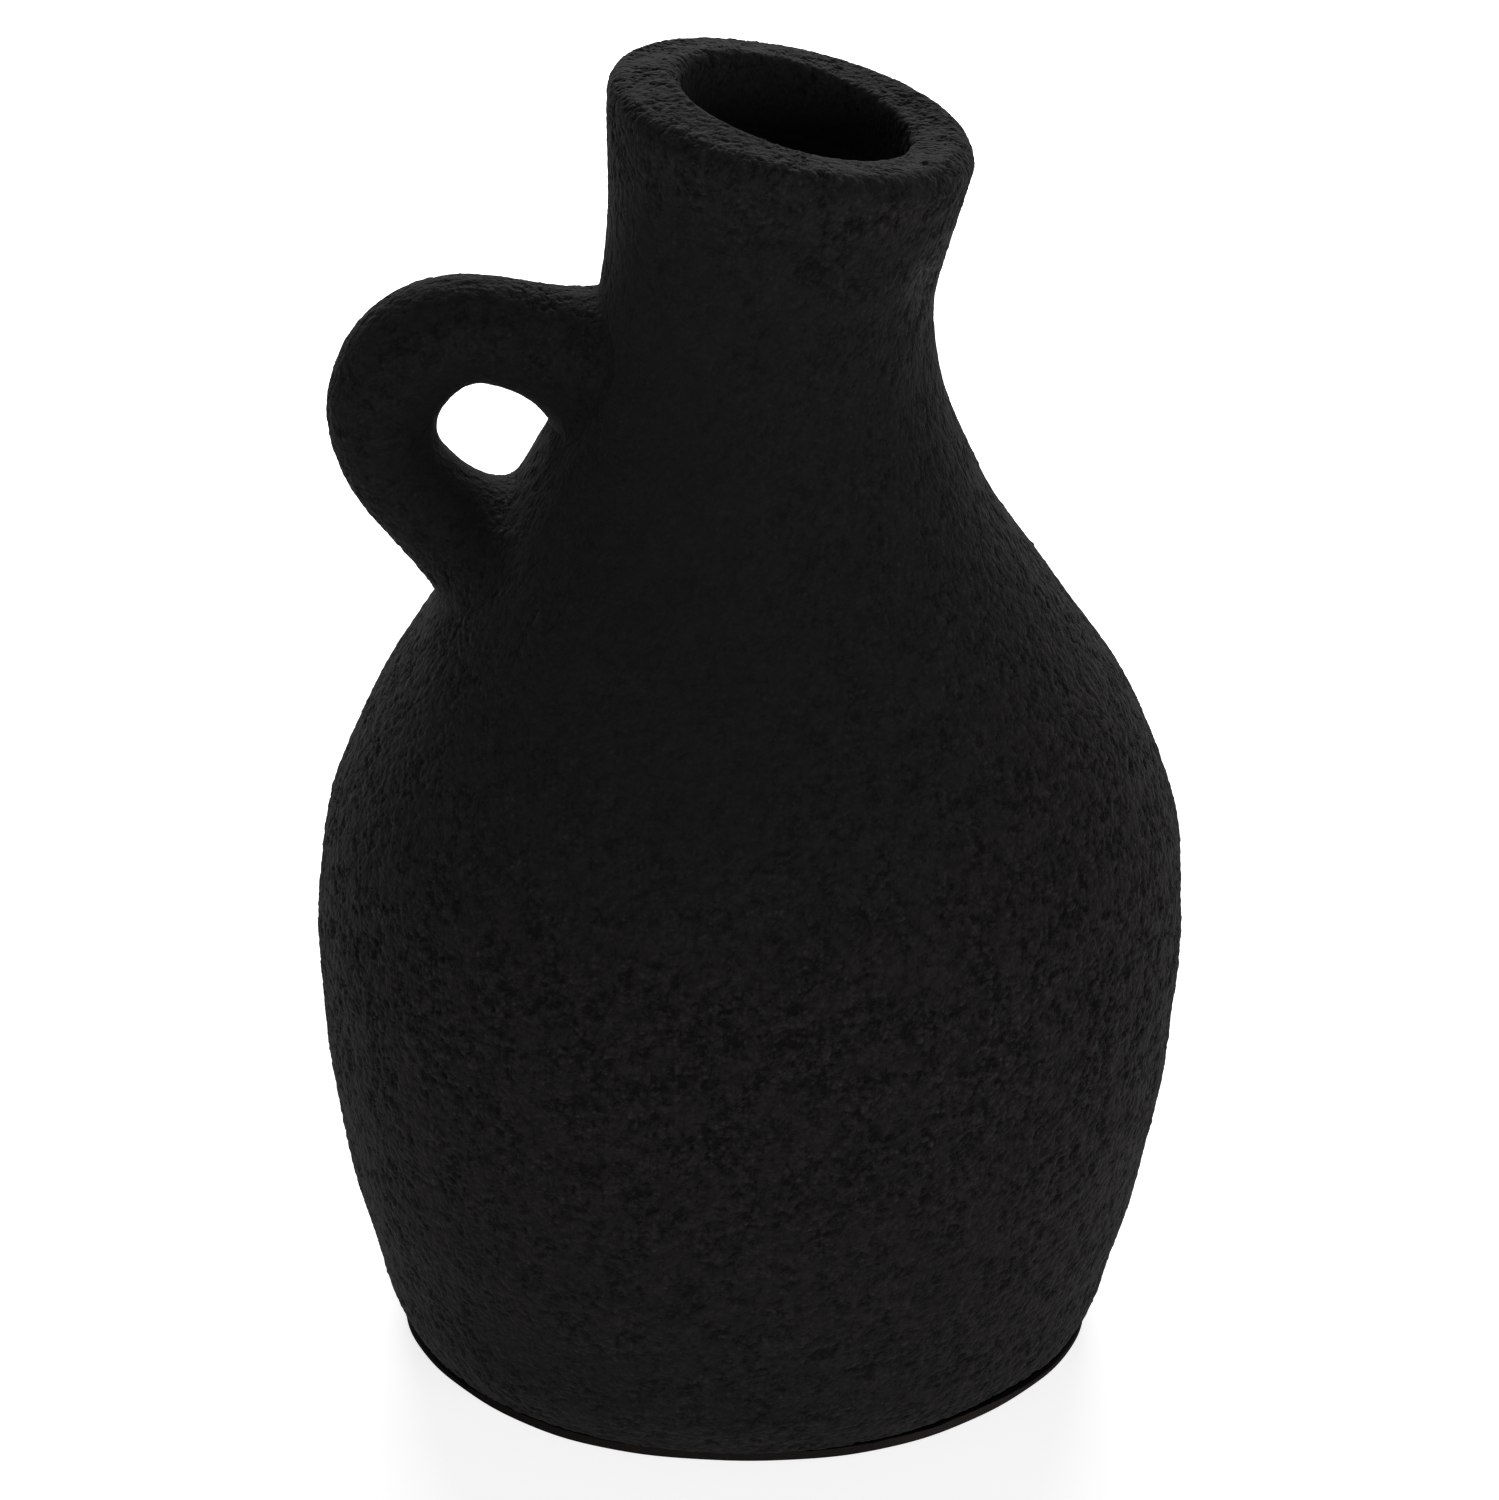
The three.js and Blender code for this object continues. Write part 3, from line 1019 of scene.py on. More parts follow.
@dataclass(frozen=True)
class Clay:
    """What all clay pieces share: the wall's rule, the relief and how coarse the clay is.

    Args:
        wall: the wall's rule.
        tree: the relief's tree.
        relief: the sizes of the relief.
        columns: faces once round every ring, so that the rings meet point on point.
        calm_width: how far round the wall a wet hand smoothed it, in radians.
        inner_coarse: how coarse the clay is inside.
        seam_step: the distance over which a seam's facing is measured.
    """

    wall: Wall
    tree: ReliefTree
    relief: Relief = Relief()
    columns: int = 760
    calm_width: float = math.radians(40)
    inner_coarse: float = 0.6
    seam_step: float = 0.0007

    @cached_property
    def rough_curve(self) -> SmoothCurve:
        """How coarse the clay is over the height."""
        lower = ((0.0, 1.0), (0.06, 1.15), (0.11, 1.45), (0.16, 1.15))
        return SmoothCurve((*lower, (0.20, 0.9), (0.25, 0.7), (0.275, 0.8), (0.295, 1.0)))

    @cached_property
    def calm_curve(self) -> SmoothCurve:
        """The share of that which the wet hand took away over the height."""
        lower = ((0.0, 0.1), (0.06, 0.1), (0.13, 0.10), (0.17, 0.52))
        return SmoothCurve((*lower, (0.20, 0.62), (0.25, 0.55), (0.275, 0.3), (0.295, 0.0)))

    @cached_property
    def calm_turn(self) -> SmoothCurve:
        """The angle at which it did so most, over the height."""
        degrees = ((0.16, -100), (0.21, -104), (0.26, -130))
        return SmoothCurve(tuple((height, math.radians(angle)) for height, angle in degrees))

    @cached_property
    def inner_cover(self) -> SmoothCurve:
        """How strongly the relief shows inside over the height: the fingers smoothed all but the lip."""
        return SmoothCurve(((0.0, 0.25), (0.24, 0.25), (0.288, 0.4), (0.30, 0.8)))

    @property
    def around(self) -> np.ndarray:
        """Angles of the columns."""
        return turns(self.columns)

    def coarseness(self, heights: np.ndarray) -> np.ndarray:
        """How coarse the outer face is.

        Args:
            heights: the heights of the rows.

        Returns:
            One value for each row and column.
        """
        rows = heights[:, None]
        away = turn_from(self.calm_turn(rows), self.around)
        calm = self.calm_curve(rows) * np.exp(-(away / self.calm_width) ** 2)
        return self.rough_curve(rows) * (1 - calm)

    def outer_band(self, heights: np.ndarray) -> Band:
        """The outer face between two heights, under the full relief."""
        return Band(self.wall.outside(heights, self.around), 1.0, self.coarseness(heights))

    def inner_band(self, heights: np.ndarray) -> Band:
        """The inner face between two heights.

        Args:
            heights: the heights of the rows, from the bottom up.

        Returns:
            The band, from the top down.
        """
        down = heights[::-1]
        cover = self.inner_cover(down)[:, None]
        return Band(self.wall.inside(down, self.around), cover, self.inner_coarse)

    def dress(
        self, piece: bpy.types.Object, material: bpy.types.Material, seams: Mapping[int, float]
    ) -> None:
        """Gives a piece its relief and its finish, and lets it meet its neighbours without a line.

        Args:
            piece: the bare piece.
            material: its finish.
            seams: the row of points on each seam, and the seam's height.
        """
        self.tree.apply(piece, self.relief, material)
        facing = np.zeros((len(piece.data.vertices), 3))
        for row, height in seams.items():
            facing[row * self.columns:(row + 1) * self.columns] = self._seam_facing(height)
        if seams:
            piece.data.normals_split_custom_set_from_vertices(facing)

    def _seam_facing(self, height: float) -> np.ndarray:
        """The way that the finished skin faces along a level seam, the same above and below it.

        Args:
            height: height of the seam.

        Returns:
            A unit vector for each column.
        """
        heights = height + self.seam_step * np.array([-1.0, 0.0, 1.0])
        probe = sweep_mesh("seam_probe", (self.outer_band(heights),))
        self.tree.apply(probe, self.relief)
        mesh = probe.data
        places = np.empty(3 * len(mesh.vertices), np.float32)
        mesh.vertices.foreach_get("co", places)
        bpy.data.objects.remove(probe)
        bpy.data.meshes.remove(mesh)
        return Band(places.reshape(3, self.columns, 3)).outward[1]


@dataclass(frozen=True)
class WallRing:
    """One ring of the wall, between two level seams.

    Args:
        name: the piece's name.
        node: the CAD node that it stands for.
        low: height of the lower seam.
        high: height of the upper seam.
        rows: rows of faces up the outside.
        inner_rows: rows of faces down the inside.
        seam_steps: rows of faces across each seam.
    """

    name: str
    node: str
    low: float
    high: float
    rows: int
    inner_rows: int
    seam_steps: int = 3

    def build(self, clay: Clay, material: bpy.types.Material) -> None:
        """Builds the ring: up the outside, over the seam, down the inside and back under.

        Args:
            clay: the wall's rule, the relief and its tree.
            material: the piece's finish.
        """
        outer = clay.outer_band(np.linspace(self.low, self.high, self.rows + 1))
        inner = clay.inner_band(np.linspace(self.low, self.high, self.inner_rows + 1))
        over = plain_band(outer.points[-1], inner.points[0], self.seam_steps)
        under = plain_band(inner.points[-1], outer.points[0], self.seam_steps)
        piece = sweep_mesh(self.name, (outer, over, inner, under))
        clay.dress(piece, material, {0: self.low, self.rows: self.high})
        seat(piece, self.node, Slot.BODY)


@dataclass(frozen=True)
class FloorSlab:
    """The clay disc that closes the bottom. Its foot edge stands a little off the pad, most at the right.

    Args:
        top: height of its upper face.
        edge_rows: rows of faces up its edge.
        face_rows: rows of faces across its lower and its upper face.
        lift: how far the edge stands off the pad all round.
        gap: how much further it does where the gap is widest.
        gap_turn: the angle at which it is widest.
        gap_width: how far the wide part reaches round the foot.
        gap_reach: how far the gap reaches in under the foot, as a share of the radius.
        hub: the share of the radius that the middle of each face closes.
    """

    top: float
    edge_rows: int = 18
    face_rows: int = 24
    lift: float = 0.0003
    gap: float = 0.0030
    gap_turn: float = math.radians(-42)
    gap_width: float = math.radians(19)
    gap_reach: float = 0.2
    hub: float = 0.1

    def build(self, clay: Clay, material: bpy.types.Material) -> None:
        """Builds the disc: out under the foot, up its edge and back over the top.

        Args:
            clay: the wall's rule, the relief and its tree.
            material: the piece's finish.
        """
        wall, around = clay.wall, clay.around
        away = turn_from(self.gap_turn, around)
        lift = self.lift + self.gap * np.exp(-(away / self.gap_width) ** 2)
        height = mix(wall.pad_top + lift, self.top, np.linspace(0, 1, self.edge_rows + 1)[:, None])
        radius = wall.worked_radius(height, around)
        across = wall.middle(height) + radius * np.cos(around)
        edge = np.stack((across, radius * np.sin(around), height), axis=-1)
        coarse = clay.coarseness(np.linspace(wall.pad_top, self.top, self.edge_rows + 1))
        shares = np.linspace(self.hub, 1, self.face_rows + 1)[:-1]
        under = edge[0] * shares[:, None, None]
        under[..., 2] = wall.pad_top + lift * smooth_step(shares, 1 - self.gap_reach, 1.0)[:, None]
        below = Vector((0, 0, wall.pad_top))
        above = Vector((float(wall.middle(self.top)), 0, self.top))
        end = np.array(above) * (1 - self.hub) + edge[-1] * self.hub
        over = plain_band(edge[-1], end, self.face_rows)
        piece = sweep_mesh("vase_floor", (Band(under), Band(edge, 1.0, coarse), over), (below, above))
        clay.dress(piece, material, {self.face_rows + self.edge_rows: self.top})
        seat(piece, "floor_slab", Slot.BODY)


@dataclass(frozen=True)
class BasePad:
    """The felt disc under the foot, cut by hand a little larger than the foot.

    Args:
        half_width: half of its width.
        half_depth: half of its depth.
        thickness: its thickness.
        columns: faces once round.
        edge_rounding: rounding of its edges.
        edge_steps: loops that make each rounded edge.
        face_shares: the shares of the radius at the first and the last loop of each face.
        face_loops: loops across each face.
        oval: how much wider and how much deeper it is cut than planned.
        hand_cut: how far the scissors strayed.
        snips: how often they strayed round the edge, from which angle of the wave, and the share of it.
    """

    half_width: float
    half_depth: float
    thickness: float
    columns: int = 480
    edge_rounding: float = 0.0004
    edge_steps: int = 4
    face_shares: Pair = (0.1, 0.95)
    face_loops: int = 8
    oval: Pair = (-0.0010, 0.0004)
    hand_cut: float = 0.0004
    snips: tuple[tuple[int, float, float], ...] = ((7, 3.54, 1.0), (23, 0.0, 0.15))

    def build(self, material: bpy.types.Material) -> None:
        """Builds the disc: out below, up its rounded edge and back over the top.

        Args:
            material: the piece's finish.
        """
        around = turns(self.columns)
        strays = (share * np.sin(often * around + start) for often, start, share in self.snips)
        wander = self.hand_cut * sum(strays)
        wide, long = self.half_width + self.oval[0], self.half_depth + self.oval[1]

        def loop(share: float, trim: float, height: float) -> np.ndarray:
            """One loop of the disc.

            Args:
                share: its share of the disc's size.
                trim: how far in from the edge it lies.
                height: its height.

            Returns:
                Its points, one for each column.
            """
            across = share * (wide - trim + wander) * np.cos(around)
            deep = share * (long - trim + wander) * np.sin(around)
            return np.stack((across, deep, np.full(self.columns, height)), axis=-1)

        bends = np.linspace(0, math.pi / 2, self.edge_steps)
        edge, top = self.edge_rounding, self.thickness
        low = [loop(1, edge * (1 - math.sin(bend)), edge * (1 - math.cos(bend))) for bend in bends]
        high = [loop(1, edge * (1 - math.cos(bend)), top - edge * (1 - math.sin(bend))) for bend in bends]
        shares = np.linspace(*self.face_shares, self.face_loops)
        below = [loop(share, 0, 0) for share in shares]
        above = [loop(share, 0, top) for share in shares[::-1]]
        band = Band(np.stack((*below, *low, *high, *above)))
        piece = sweep_mesh("base_felt", (band,), (Vector((0, 0, 0)), Vector((0, 0, top))))
        piece.data.materials.append(material)
        seat(piece, "base_pad", Slot.PAD)


@dataclass(frozen=True)
class Rim:
    """The thick coil that makes the slanted lip, with its own wider slant inside.

    Args:
        base: height of its seam on the neck.
        lip_rounding: rounding of the outer edge of the lip.
        bore_shift: how far the mouth's middle stands off the lip's.
        bore_extra_angle: how much more the mouth's edge slants.
        bore_rounding: rounding of the mouth's edge.
        row_height: height of the rows of faces.
        seam_steps: rows of faces across the seam.
        lip_coarse: how coarse the clay of the lip is.
    """

    base: float
    lip_rounding: float = 0.005
    bore_shift: float = 0.0009
    bore_extra_angle: float = math.radians(4.1)
    bore_rounding: float = 0.0025
    row_height: float = 0.00052
    seam_steps: int = 5
    lip_coarse: float = 0.9

    def build(self, clay: Clay, material: bpy.types.Material) -> None:
        """Builds the lip: up the side, over the rounded edge and the top, and down the bore.

        Args:
            clay: the wall's rule, the relief and its tree.
            material: the piece's finish.
        """
        wall, around = clay.wall, clay.around
        edge, tilt = wall.lip_edge, wall.lip_angle
        middle = float(wall.middle(edge))
        heights = np.linspace(self.base, edge, self._steps(edge - self.base) + 1)
        side = clay.outer_band(heights)
        quarter = np.linspace(0, math.pi / 2, self._steps(self.lip_rounding * math.pi / 2) + 1)[1:]
        level = np.ones(len(quarter))
        worked = np.hypot(*self._flat(side.points[-1], middle, edge, tilt))
        pressed = wall.radius(np.array([[edge]])) - worked
        radius = wall.lip_radius - pressed - self.lip_rounding * (1 - np.cos(quarter))[:, None]
        outer_height = edge + self.lip_rounding * np.sin(quarter)
        outer_edge = ring_points(middle * level, outer_height, tilt * level, radius, around)
        quarter = np.linspace(0, math.pi / 2, self._steps(self.bore_rounding * math.pi / 2) + 1)
        level = np.ones(len(quarter))
        bore_edge = ring_points(
            (middle + self.bore_shift) * level,
            edge + self.lip_rounding - self.bore_rounding * (1 - np.cos(quarter)),
            (tilt + self.bore_extra_angle) * level,
            wall.bore_radius + self.bore_rounding * (1 - np.sin(quarter))[:, None], around,
        )
        seam = wall.inside(np.array([self.base]), around)
        across = self._between(outer_edge[-1], bore_edge[0])
        down = self._between(bore_edge[-1], seam[0])
        points = np.concatenate((side.points, outer_edge, across, bore_edge, down, seam))
        bore_rows = len(down) + 1
        cover = np.ones((len(points), 1))
        cover[-bore_rows:, 0] = np.linspace(1.0, float(clay.inner_cover(self.base)), bore_rows)
        coarse = np.full(points.shape[:2], self.lip_coarse)
        coarse[:len(heights)] = side.coarse
        coarse[-bore_rows:] = np.linspace(self.lip_coarse, clay.inner_coarse, bore_rows)[:, None]
        under = plain_band(points[-1], points[0], self.seam_steps)
        piece = sweep_mesh("vase_rim", (Band(points, cover, coarse), under))
        clay.dress(piece, material, {0: self.base})
        seat(piece, "rim", Slot.RIM)

    @staticmethod
    def _flat(points: np.ndarray, middle: float, height: float, tilt: float) -> Sequence[np.ndarray]:
        """A slanted ring's points in its own plane, across and deep."""
        across = (points[:, 0] - middle) * math.cos(tilt) - (points[:, 2] - height) * math.sin(tilt)
        return across, points[:, 1]

    def _steps(self, length: float) -> int:
        """How many rows a length takes."""
        return max(2, round(length / self.row_height))

    def _between(self, start: np.ndarray, end: np.ndarray) -> np.ndarray:
        """Rows between two loops, spaced as the rest of the lip."""
        longest = float(np.linalg.norm(end - start, axis=-1).max())
        return plain_band(start, end, self._steps(longest)).points


@dataclass(frozen=True)
class Handle:
    """The loop handle: a round coil of clay, bent, and luted to the neck and the shoulder.

    Args:
        loop_radius: radius of the bend's middle line.
        loop_offset: how far the bend's centre stands off the narrowest ring of the neck.
        loop_drop: how far that centre lies below that ring.
        upper_leg_angle: fall of the upper leg's line towards the neck.
        lower_leg_angle: slope of the lower leg's line.
        upper_root_radius: radius of the coil at the neck, as the next four are along it.
        upper_smear: how far the luted clay spreads at the neck, on the finger side, flanks and outer side.
        lower_smear: the same at the shoulder.
        smear_reach: how far up the coil the luted clay reaches.
        leg_share: what the middle line's places gain on each leg, where the bend gains 1.
        bedding: how deep the coil's ends lie in the wall.
        bare_reach: how far off the wall the relief has its full strength.
        columns: faces round the coil.
        rows: rows of faces along it.
        row_crowding: how much closer the rows lie at the roots.
        cap_rings: rings that close each end.
        finger_coarse: how coarse its clay is on the finger side. The handle's dark smoothed colour makes
            this also painted shade inside the loop.
        outer_coarse: how coarse it is on the outer side.
        finger_span: the turns' cosines between which the finger side gives way to the outer side.
        ledge_coarse: how coarse it is under the finger hole, where the lower root was squeezed.
        ledge_places: the places along the coil between which that starts.
        ledge_span: the turns' cosines between which it does, with 1 on the finger side.
    """

    loop_radius: float = 0.0226
    loop_offset: float = 0.0224
    loop_drop: float = 0.0339
    upper_leg_angle: float = math.radians(12)
    lower_leg_angle: float = math.radians(49)
    upper_root_radius: float = 0.015
    upper_leg_radius: float = 0.0125
    bend_radius: float = 0.0133
    lower_leg_radius: float = 0.0118
    lower_root_radius: float = 0.0134
    upper_smear: Triple = (0.0105, 0.0110, 0.0010)
    lower_smear: Triple = (0.0096, 0.0180, 0.0002)
    smear_reach: float = 0.016
    leg_share: float = 0.375
    bedding: float = 0.0008
    bare_reach: float = 0.0006
    columns: int = 190
    rows: int = 420
    row_crowding: float = 0.8
    cap_rings: int = 5
    finger_coarse: float = 0.40
    outer_coarse: float = 0.85
    finger_span: Pair = (-0.8, 0.1)
    ledge_coarse: float = 1.2
    ledge_places: Pair = (1.09, 1.16)
    ledge_span: Pair = (0.3, 0.9)

    @property
    def bend_length(self) -> float:
        """Length of the bend between the two legs."""
        return self.loop_radius * (math.pi + self.upper_leg_angle - self.lower_leg_angle)

    @property
    def upper_length(self) -> float:
        """Length of the upper leg, its root inside the neck included."""
        return self.loop_offset + self.upper_root_radius

    @property
    def lower_length(self) -> float:
        """Length of the lower leg, its root inside the shoulder included."""
        return self.loop_radius + 2 * self.lower_root_radius

    def _place(self, along: np.ndarray) -> np.ndarray:
        """Turns distances along the coil into places: 0 and 1 at the bend's ends, past them on the legs.

        Args:
            along: distances from the start of the bend.

        Returns:
            The places.
        """
        bend, leg = self.bend_length, self.leg_share
        distances = (-self.upper_length, 0, bend, bend + self.lower_length)
        return np.interp(along, distances, (-leg, 0, 1, 1 + leg))

    @cached_property
    def radius_curve(self) -> SmoothCurve:
        """Radius of the coil: swollen on the bend, flared at both roots."""
        return SmoothCurve((
            (-self.leg_share, self.upper_root_radius), (0, self.upper_leg_radius), (0.45, self.bend_radius),
            (1, self.lower_leg_radius), (1 + self.leg_share, self.lower_root_radius),
        ))

    @cached_property
    def outer_curve(self) -> SmoothCurve:
        """How far the outer side stands off the round coil, as the fingers left it."""
        leg = self.leg_share
        upper = ((-leg, -0.0012), (-0.12, -0.0006), (0.05, -0.0003), (0.25, 0.0006), (0.34, 0.0007))
        lower = ((0.67, 0.0002), (0.83, -0.0004), (1.05, -0.0001), (1 + leg, -0.0006))
        return SmoothCurve((*upper, (0.43, 0.0006), (0.55, 0.0003), *lower))

    def line(self, wall: Wall, along: np.ndarray) -> tuple[np.ndarray, np.ndarray]:
        """The coil's middle line.

        Args:
            wall: the wall that the loop is placed from.
            along: distances from the start of the bend, less than zero on the upper leg.

        Returns:
            The places and the directions in the XZ plane, two values each.
        """
        centre = np.array((-wall.neck_radius - self.loop_offset, wall.neck_height - self.loop_drop))
        on_bend = np.clip(along, 0, self.bend_length)
        angle = math.pi / 2 - self.upper_leg_angle + on_bend / self.loop_radius
        direction = np.stack((-np.sin(angle), np.cos(angle)), axis=-1)
        place = centre + self.loop_radius * np.stack((np.cos(angle), np.sin(angle)), axis=-1)
        return place + direction * (along - on_bend)[..., None], direction

    def skin(self, wall: Wall, along: np.ndarray, turn: np.ndarray, share: float = 1.0) -> np.ndarray:
        """Points of the coil's skin, smeared out near the wall.

        Args:
            wall: the wall that the coil is luted to.
            along: distances from the start of the bend.
            turn: angles round the coil, 0 on its outer side.
            share: the share of the coil's radius at which the points lie, 1 on the skin.

        Returns:
            The points, with X, Y and Z along the last axis.
        """
        place, direction = self.line(wall, along)
        level, rising = direction[..., 0], direction[..., 1]
        across = np.stack((rising * np.cos(turn), np.sin(turn), -level * np.cos(turn)), axis=-1)
        core = np.stack((place[..., 0], np.zeros_like(along), place[..., 1]), axis=-1)
        outer = (1 + np.cos(turn)) / 2
        position = self._place(along)
        radius = self.radius_curve(position) + self.outer_curve(position) * outer
        near = np.clip(1 - wall.clearance(core + radius[..., None] * across) / self.smear_reach, 0, 1)
        upper, lower = (
            SmoothCurve(tuple(zip((0.0, 0.5, 1.0), smear)))(outer)
            for smear in (self.upper_smear, self.lower_smear)
        )
        smear = np.where(along < self.bend_length / 2, upper, lower) * (1 - np.sqrt(1 - near**2))
        plain = core + (share * radius)[..., None] * across
        spread = core + (share * (radius + smear))[..., None] * across
        presses = 2
        for _ in range(presses):
            too_far = np.maximum(wall.clearance(spread) - wall.clearance(plain), 0) * near
            height = spread[..., 2]
            axis = np.stack((wall.middle(height), np.zeros_like(height), height), axis=-1)
            spread = spread - too_far[..., None] * unit(spread - axis)
        return spread

    def _meet(self, wall: Wall, sunk: float, turn: np.ndarray, share: float) -> np.ndarray:
        """Finds where the skin enters the wall towards its sunk end, by halving.

        Args:
            wall: the wall.
            sunk: the sunk end's distance from the start of the bend.
            turn: angles round the coil.
            share: the share of the coil's radius, as in skin.

        Returns:
            The distance from the start of the bend, for each angle.
        """
        low, high = np.full(turn.shape, sunk), np.full(turn.shape, self.bend_length / 2)
        halvings = 26
        for _ in range(halvings):
            half = (low + high) / 2
            inside = wall.clearance(self.skin(wall, half, turn, share)) < -self.bedding
            low, high = np.where(inside, half, low), np.where(inside, high, half)
        return (low + high) / 2

    def build(self, clay: Clay, material: bpy.types.Material) -> None:
        """Builds the coil from the neck, round the loop, to the shoulder, its ends shaped to the wall.

        Args:
            clay: the wall's rule, the relief and its tree.
            material: the piece's finish.
        """
        wall, turn = clay.wall, turns(self.columns)
        near, far = -self.upper_length, self.bend_length + self.lower_length
        even = np.linspace(0, 1, self.rows + 1)[:, None]
        share = even - self.row_crowding * np.sin(2 * math.pi * even) / (2 * math.pi)
        along = self._meet(wall, near, turn, 1.0) * (1 - share) + self._meet(wall, far, turn, 1.0) * share
        points = self.skin(wall, along, np.broadcast_to(turn, along.shape))
        clear = smooth_step(wall.clearance(points), -self.bedding, self.bare_reach)
        shares = np.linspace(0, 1, self.cap_rings + 1)[1:-1]
        first = [self.skin(wall, self._meet(wall, near, turn, s), turn, s) for s in shares]
        last = [self.skin(wall, self._meet(wall, far, turn, s), turn, s) for s in shares[::-1]]
        poles = tuple(Vector(rows.mean(axis=0)) for rows in (first[0], last[-1]))
        # The smoother finger side and the coil near the wall take the handle's dark smoothed colour:
        # painted shade.
        outer = smooth_step(np.cos(turn), *self.finger_span)
        under = smooth_step(-np.cos(turn), *self.ledge_span)
        ledge = smooth_step(self._place(along), *self.ledge_places) * under
        coarse = mix(mix(self.finger_coarse, self.outer_coarse, outer), self.ledge_coarse, ledge)
        bands = (Band(np.stack(first)), Band(points, clear, coarse), Band(np.stack(last)))
        piece = sweep_mesh("vase_handle", bands, poles)
        clay.dress(piece, material, {})
        seat(piece, "handle", Slot.HANDLE)


@dataclass(frozen=True)
class SoftBox:
    """One soft lamp, aimed at the vase.

    Args:
        name: the lamp's name.
        place: where it hangs.
        width: its width.
        height: its height.
        power: its power, in watts.
        target: what it is aimed at.
    """

    name: str
    place: Place
    width: float
    height: float
    power: float
    target: Place = (0.0, 0.0, 0.15)

    def hang(self) -> None:
        """Puts the lamp in the scene."""
        lamp = bpy.data.lights.new(self.name, "AREA")
        lamp.shape = "RECTANGLE"
        lamp.size, lamp.size_y, lamp.energy = self.width, self.height, self.power
        holder = bpy.data.objects.new(self.name, lamp)
        holder.location = self.place
        aim = Vector(self.target) - Vector(self.place)
        holder.rotation_euler = aim.to_track_quat("-Z", "Y").to_euler()
        bpy.context.scene.collection.objects.link(holder)


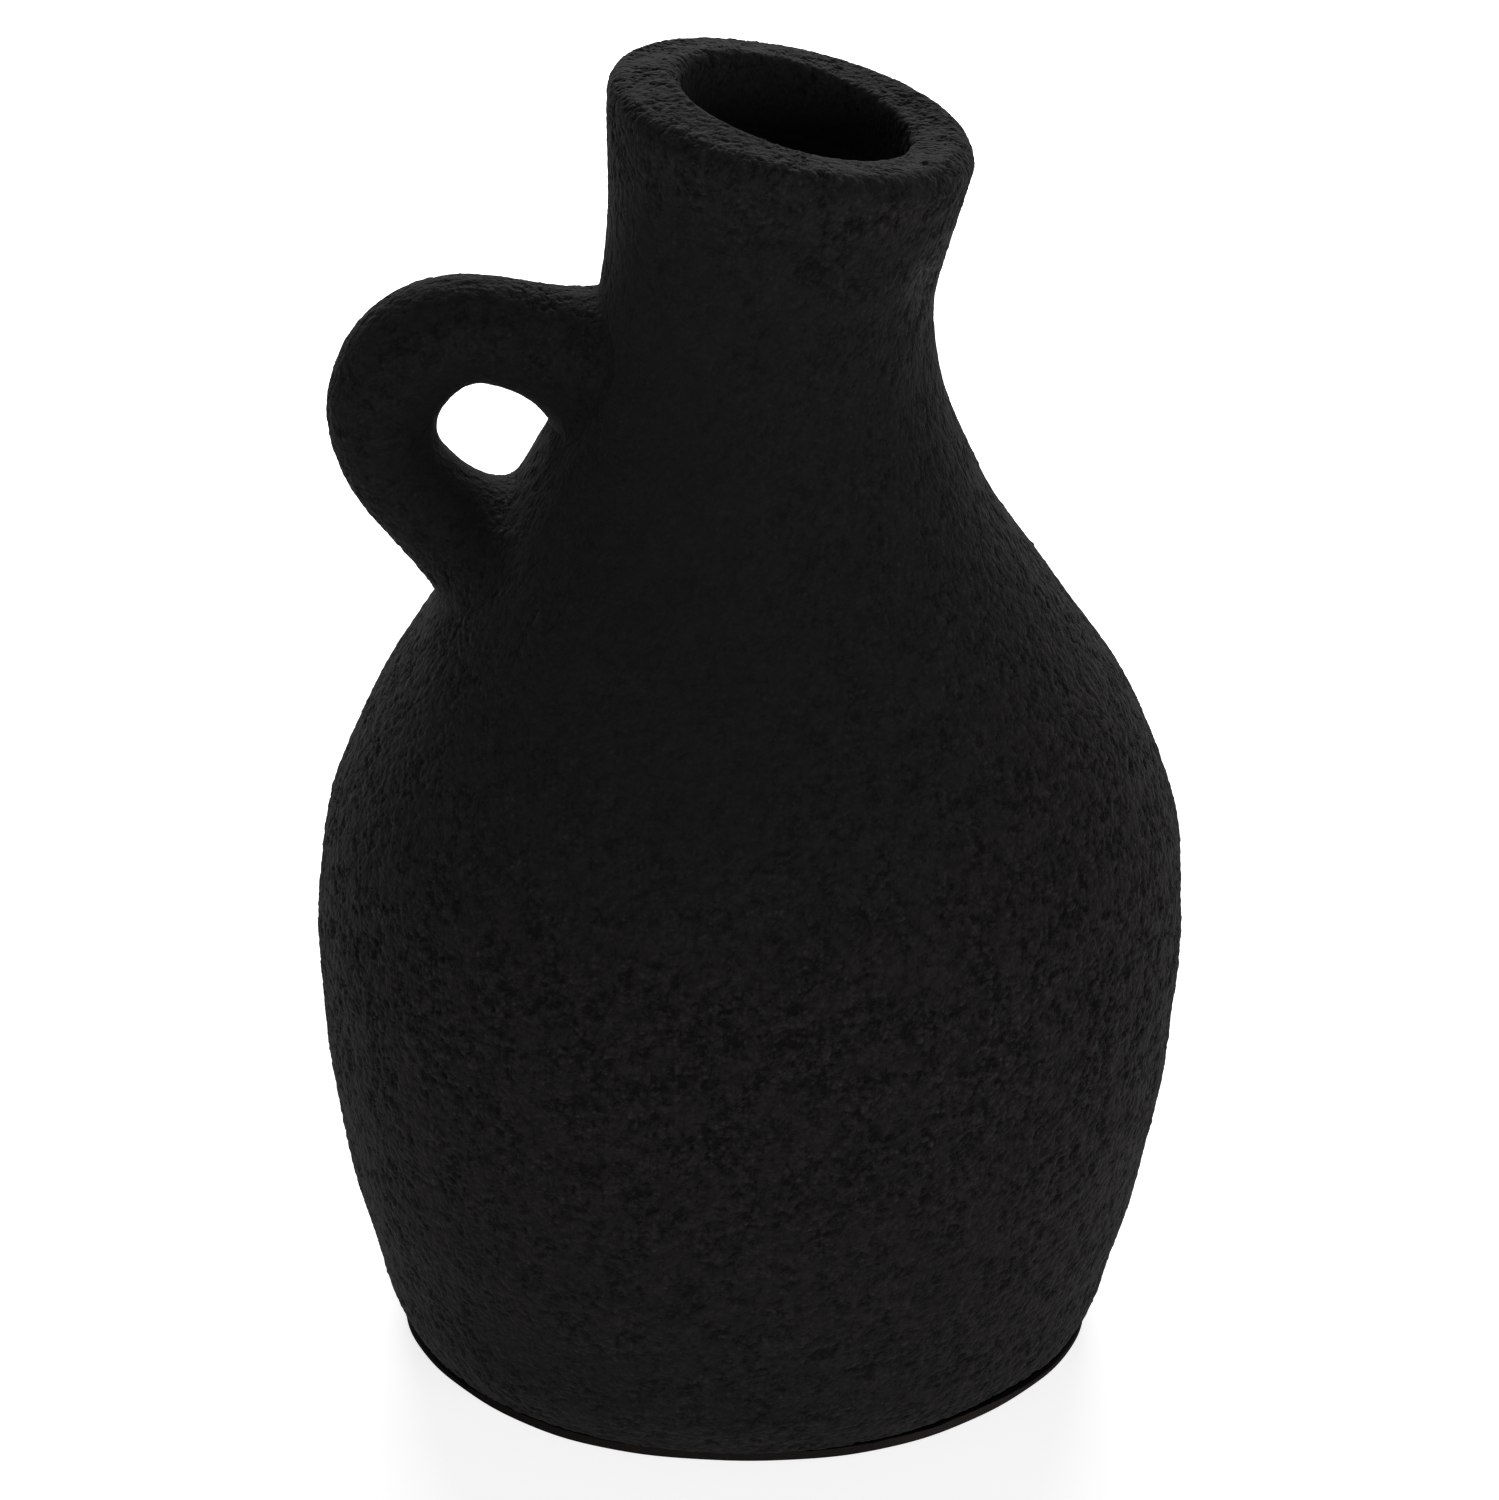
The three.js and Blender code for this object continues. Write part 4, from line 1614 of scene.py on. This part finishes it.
@dataclass(frozen=True)
class Studio:
    """White floor, soft lamps and the camera at the photograph's angle.

    Args:
        pitch: how far the camera looks down.
        distance: how far it stands from what it is aimed at.
        aim: what it is aimed at.
        focal_px: its focal length, in pixels of the photograph.
        floor_half: half of the floor's width.
        floor_white: how white the floor's paint is.
        floor_lift: what the camera sees on the floor besides its light, beside the vase.
        floor_span: the distances between which that rises to 1.
        sky: how strongly the sky lights the vase.
        lamps: the soft lamps.
    """

    pitch: float = math.radians(25.0)
    distance: float = 1.8
    aim: Place = (0.00101, 0.0, 0.14518)
    focal_px: float = 7742.0
    floor_half: float = 8.0
    floor_white: float = 0.8
    floor_lift: float = 0.78
    floor_span: Pair = (0.12, 0.45)
    sky: float = 0.10
    lamps: tuple[SoftBox, ...] = (
        SoftBox("left_front", (-0.9, -1.7, 0.30), width=1.2, height=0.8, power=4.5),
        SoftBox("right_front", (0.9, -1.7, 0.30), width=1.2, height=0.8, power=21.5),
        SoftBox("high_back", (0.0, 1.3, 1.0), width=1.2, height=0.6, power=23.0),
    )

    def place_camera(self) -> None:
        """Puts the camera where the photograph was taken from."""
        data = bpy.data.cameras.new("photo_camera")
        data.sensor_width = SENSOR_WIDTH
        data.lens = self.focal_px / PHOTO_HEIGHT_PX * SENSOR_WIDTH
        camera = bpy.data.objects.new("photo_camera", data)
        back = Vector((0, -math.cos(self.pitch), math.sin(self.pitch)))
        camera.location = Vector(self.aim) + back * self.distance
        camera.rotation_euler = (math.pi / 2 - self.pitch, 0, 0)
        bpy.context.scene.collection.objects.link(camera)
        bpy.context.scene.camera = camera

    def lay_floor(self) -> None:
        """Lays the white floor. It shows white to the camera, and keeps the vase's shadow."""
        mesh = bpy.data.meshes.new("floor")
        half = self.floor_half
        corners = [(-half, -half, 0), (half, -half, 0), (half, half, 0), (-half, half, 0)]
        mesh.from_pydata(corners, [], [(0, 1, 2, 3)])
        floor = bpy.data.objects.new("floor", mesh)
        bpy.context.scene.collection.objects.link(floor)
        material, wiring = new_material("white_floor")
        paint = wiring.add("ShaderNodeBsdfDiffuse", {"Color": (self.floor_white,) * 3 + (1.0,)})
        place = wiring.add("ShaderNodeTexCoord").outputs["Object"]
        away = wiring.add("ShaderNodeVectorMath", {0: place}, operation="LENGTH").outputs["Value"]
        lift = wiring.rise(away, *self.floor_span, self.floor_lift, 1.0)
        glow = wiring.add("ShaderNodeEmission", {"Strength": wiring.times(self._seen(wiring), lift)})
        both = wiring.add("ShaderNodeAddShader", {0: paint.outputs[0], 1: glow.outputs[0]})
        wiring.add("ShaderNodeOutputMaterial", {"Surface": both.outputs[0]})
        mesh.materials.append(material)

    def _seen(self, wiring: Wiring) -> Socket:
        """Wires a test of what a ray is for.

        Args:
            wiring: the wiring of a material or of the sky.

        Returns:
            1 for rays that see the background or its mirror image, and 0 for light on the vase.
        """
        path = wiring.add("ShaderNodeLightPath").outputs
        mirrored = wiring.math("MAXIMUM", path["Is Glossy Ray"], path["Is Transmission Ray"])
        return wiring.math("MAXIMUM", path["Is Camera Ray"], mirrored)

    def light(self) -> None:
        """Lights the scene: a faint plain sky, soft lamps at both sides in front and one high up behind."""
        world = bpy.data.worlds.new("sky")
        world.use_nodes = True
        bpy.context.scene.world = world
        wiring = Wiring(world.node_tree)
        strength = wiring.math("MAXIMUM", self.sky, self._seen(wiring))
        wiring.add("ShaderNodeOutputWorld", {
            "Surface": wiring.add("ShaderNodeBackground", {"Strength": strength}).outputs[0],
        })
        for lamp in self.lamps:
            lamp.hang()


def main() -> None:
    """Builds the studio and the vase, piece by piece."""
    logging.basicConfig(level=logging.INFO, format="%(name)s: %(message)s")
    bpy.context.scene.view_settings.view_transform = "Standard"
    studio = Studio()
    studio.place_camera()
    studio.lay_floor()
    studio.light()

    floor_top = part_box("floor_slab")[1].z
    belly_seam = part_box("belly_wall")[0].z
    shoulder_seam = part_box("shoulder_wall")[0].z
    neck_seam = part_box("neck")[0].z
    pad_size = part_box("base_pad")[1]
    wall = Wall(pad_top=pad_size.z, neck_seam=neck_seam)
    clay = Clay(wall, ReliefTree())
    body_clay = ClayFinish("body_clay").make()
    rim_clay = ClayFinish(
        "rim_clay", coarse_clay=(0.0108, 0.0097, 0.0102), calm_clay=(0.0078, 0.0074, 0.0076)
    ).make()
    # Painted shade: the handle's smoothed colour is about half the body's, so the inside of its loop and
    # the coil near the wall render darker.
    handle_clay = ClayFinish(
        "handle_clay", coarse_clay=(0.0098, 0.0094, 0.0095), calm_clay=(0.0038, 0.0038, 0.0038)
    ).make()

    felt = FeltFinish("pad_felt", pad_size.z).make()
    BasePad(pad_size.x, pad_size.y, pad_size.z).build(felt)
    FloorSlab(floor_top).build(clay, body_clay)
    rings = (
        WallRing("vase_lower_wall", "lower_wall", floor_top, belly_seam, rows=114, inner_rows=8),
        WallRing("vase_belly_wall", "belly_wall", belly_seam, shoulder_seam, rows=114, inner_rows=8),
        WallRing("vase_shoulder", "shoulder_wall", shoulder_seam, neck_seam, rows=112, inner_rows=10),
        WallRing("vase_neck", "neck", neck_seam, wall.rim_seam, rows=102, inner_rows=20),
    )
    for ring in rings:
        ring.build(clay, body_clay)
    Rim(wall.rim_seam).build(clay, rim_clay)
    Handle().build(clay, handle_clay)


if __name__ == "__main__":
    main()
